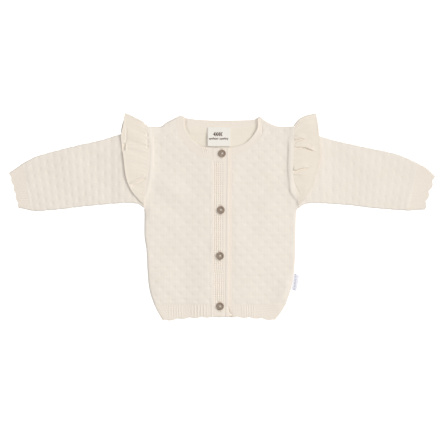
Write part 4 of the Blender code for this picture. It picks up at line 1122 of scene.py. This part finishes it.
# The neck label: a woven satin tape, sewn along its top edge behind the neck. Its loose end bows off
# the back. It carries a small leaf sprig and a row of dashes in brown thread, and no words.
LABEL = {"left": -20.9, "right": 13.4, "top": 133.8, "foot": 105.3}
LABEL_WIDTH, LABEL_LENGTH = LABEL["right"] - LABEL["left"], LABEL["top"] - LABEL["foot"]
TAPE_WALL = 1.0
LABEL_BOW = (2.4, 0.5)  # how far its loose end stands off the back, at its -X and +X sides
WEFT, WARP = 0.5, 0.35  # the tape's ribs, up and across
STEM, LEAVES_X, LEAVES_Y = ((-13.2, 123.2), (0.2, 123.8)), (-10.8, -7.4, -4.0, -0.8), 123.6
LEAF = ((0, 2.2, 3.1), (-0.8, 0.9, 2.6))  # a leaf's strokes: from and to, along the stem, and how far out
DASHES = (-18.7, 1.45, 20, 10)  # the row of dashes: first place, pitch, how many, and which is left out
DASH_FOOT, DASH_TOP, DASH_SLANT, DASH_LONG = 115.4, 117.9, 0.9, 0.8


def woven_tape(name, white):
    """Woven polyester satin: smooth, with fine cross ribs of weft and a slight sheen."""
    look, tree, shader = add_material(name)
    place = add_node(tree, "UVMap", uv_map="knitting")["UV"]
    across, up, _ = add_node(tree, "SeparateXYZ", {0: place})
    ribs = []
    for way, pitch in ((up, WEFT), (across, WARP)):
        phase = add_node(tree, "Math", {0: way, 1: 2 * math.pi / pitch}, operation="MULTIPLY")[0]
        ribs.append(add_node(tree, "Math", {0: phase}, operation="SINE")[0])
    height = add_node(tree, "Math", {0: ribs[0], 1: ribs[1]}, operation="MULTIPLY")[0]
    bump = add_node(tree, "Bump", {"Height": height, "Strength": 0.3, "Distance": 0.05 * MM})[0]
    fill_sockets(tree, shader, {"Normal": bump, "Base Color": linear(white), "Roughness": 0.55,
                                "Sheen Weight": 0.15})
    return look, "woven_tape"


label_tape = woven_tape("woven satin tape, cream white", "#eeeae2")
brown_thread = cotton_knit("brown embroidery thread", "woven_tape", "#6b5446", "#57443a", 0.8, 0.9, 0.05)


def label_height(u, q):
    """How high the label's underside is: a part of a sine down it, which grows across it."""
    start, end = LABEL_BOW
    return KNIT + SEAM + (start + (end - start) * u) * np.sin(np.pi * 0.72 * q)


def neck_label():
    """A thin wall, with its side and lower edges turned in to round hems."""
    u, q = np.meshgrid(shares(60), shares(50))
    xy = both(LABEL["left"] + u * LABEL_WIDTH, LABEL["top"] - q * LABEL_LENGTH)
    edge = np.minimum(np.minimum(u, 1 - u) * LABEL_WIDTH, (1 - q) * LABEL_LENGTH)
    under = label_height(u, q)
    over = under + TAPE_WALL * (0.7 + 0.3 * smooth(edge) - 0.15 * smooth(edge / 2 - 0.6))
    laid("neck_label_tape", xy, under, over, label_tape, "neck_label")


def label_stitches():
    """A sprig that lies along the tape, and below it a row of slanted stitches, all in fat thread."""
    lines = [STEM]
    for x in LEAVES_X:
        lines += [((x + start, LEAVES_Y), (x + end, LEAVES_Y + way * out))
                  for start, end, out in LEAF for way in (-1, 1)]
    first, pitch, number, left_out = DASHES
    for place in sorted(set(range(number)) - {left_out}):
        x, more = first + pitch * place, DASH_LONG * (place % 3 == 1) * (-1) ** place
        lines.append(((x, DASH_FOOT + min(more, 0)), (x + DASH_SLANT, DASH_TOP + max(more, 0))))
    start, end = np.moveaxis(np.array(lines), 1, 0)[..., None, :]
    xy = start + shares(9)[:, None] * (end - start)
    u, q = (xy[..., 0] - LABEL["left"]) / LABEL_WIDTH, (LABEL["top"] - xy[..., 1]) / LABEL_LENGTH
    paths = raised(xy, label_height(u, q) + TAPE_WALL * 0.85 + 0.15 * np.sin(np.pi * shares(9)))
    strands("neck_label_stitches", paths, 0.42, brown_thread)


neck_label()
label_stitches()


# The side tag: a short piece of the same tape, folded in two, whose ends are caught in the side seam.
TAG = {"from_y": -85.2, "to_y": -109.5, "out": (7.4, -3.2)}
TAG_START = 1.5  # how high it leaves the seam
TAG_ROW = (0.36, 0.06, 0.4)  # its stitches: where the row starts and ends, and how far out they reach
tag_tape = woven_tape("woven satin tape, lavender white", "#e9e9f0")
grey_thread = cotton_knit("grey lavender embroidery thread", "woven_tape", "#b9b8c6", "#a4a3b4",
                          0.8, 0.9, 0.05)


def on_tag(share, count):
    """Places and heights on the tag: a row for each point of its seam, at shares of the way out."""
    edge = through(SIDES["left"]["side"], shares(400))
    edge = edge[(edge[:, 1] <= TAG["from_y"]) & (edge[:, 1] >= TAG["to_y"])]
    edge = edge[np.linspace(0, len(edge) - 1, count).astype(int)] + (0.5, 0)
    return edge[:, None] + share[..., None] * np.array(TAG["out"]), TAG_START * (1 - smooth(share))


def side_tag():
    """Both layers as one wall, rounded at the fold, which sinks to the surface as it goes out."""
    share = shares(24)[None]
    xy, level = on_tag(share, 40)
    fold = edge_drop((1 - share) * 8) * 0.4
    piece = wall("side_tag_tape", raised(xy, level + fold), raised(xy, level + TAPE_WALL - fold), xy,
                 tag_tape, "side_tag")


def tag_stitches():
    """A row of short slanted stitches down the tag, which runs towards its seam."""
    start, end, reach = TAG_ROW
    xy, level = on_tag(np.linspace(start, end, 46)[:, None] + np.linspace(0, reach, 9), 46)
    xy[..., 1] += np.linspace(-0.6, 0.6, 9)
    strands("side_tag_stitches", raised(xy, level + TAPE_WALL + 0.1)[3:44:4], 0.45, grey_thread)


side_tag()
tag_stitches()
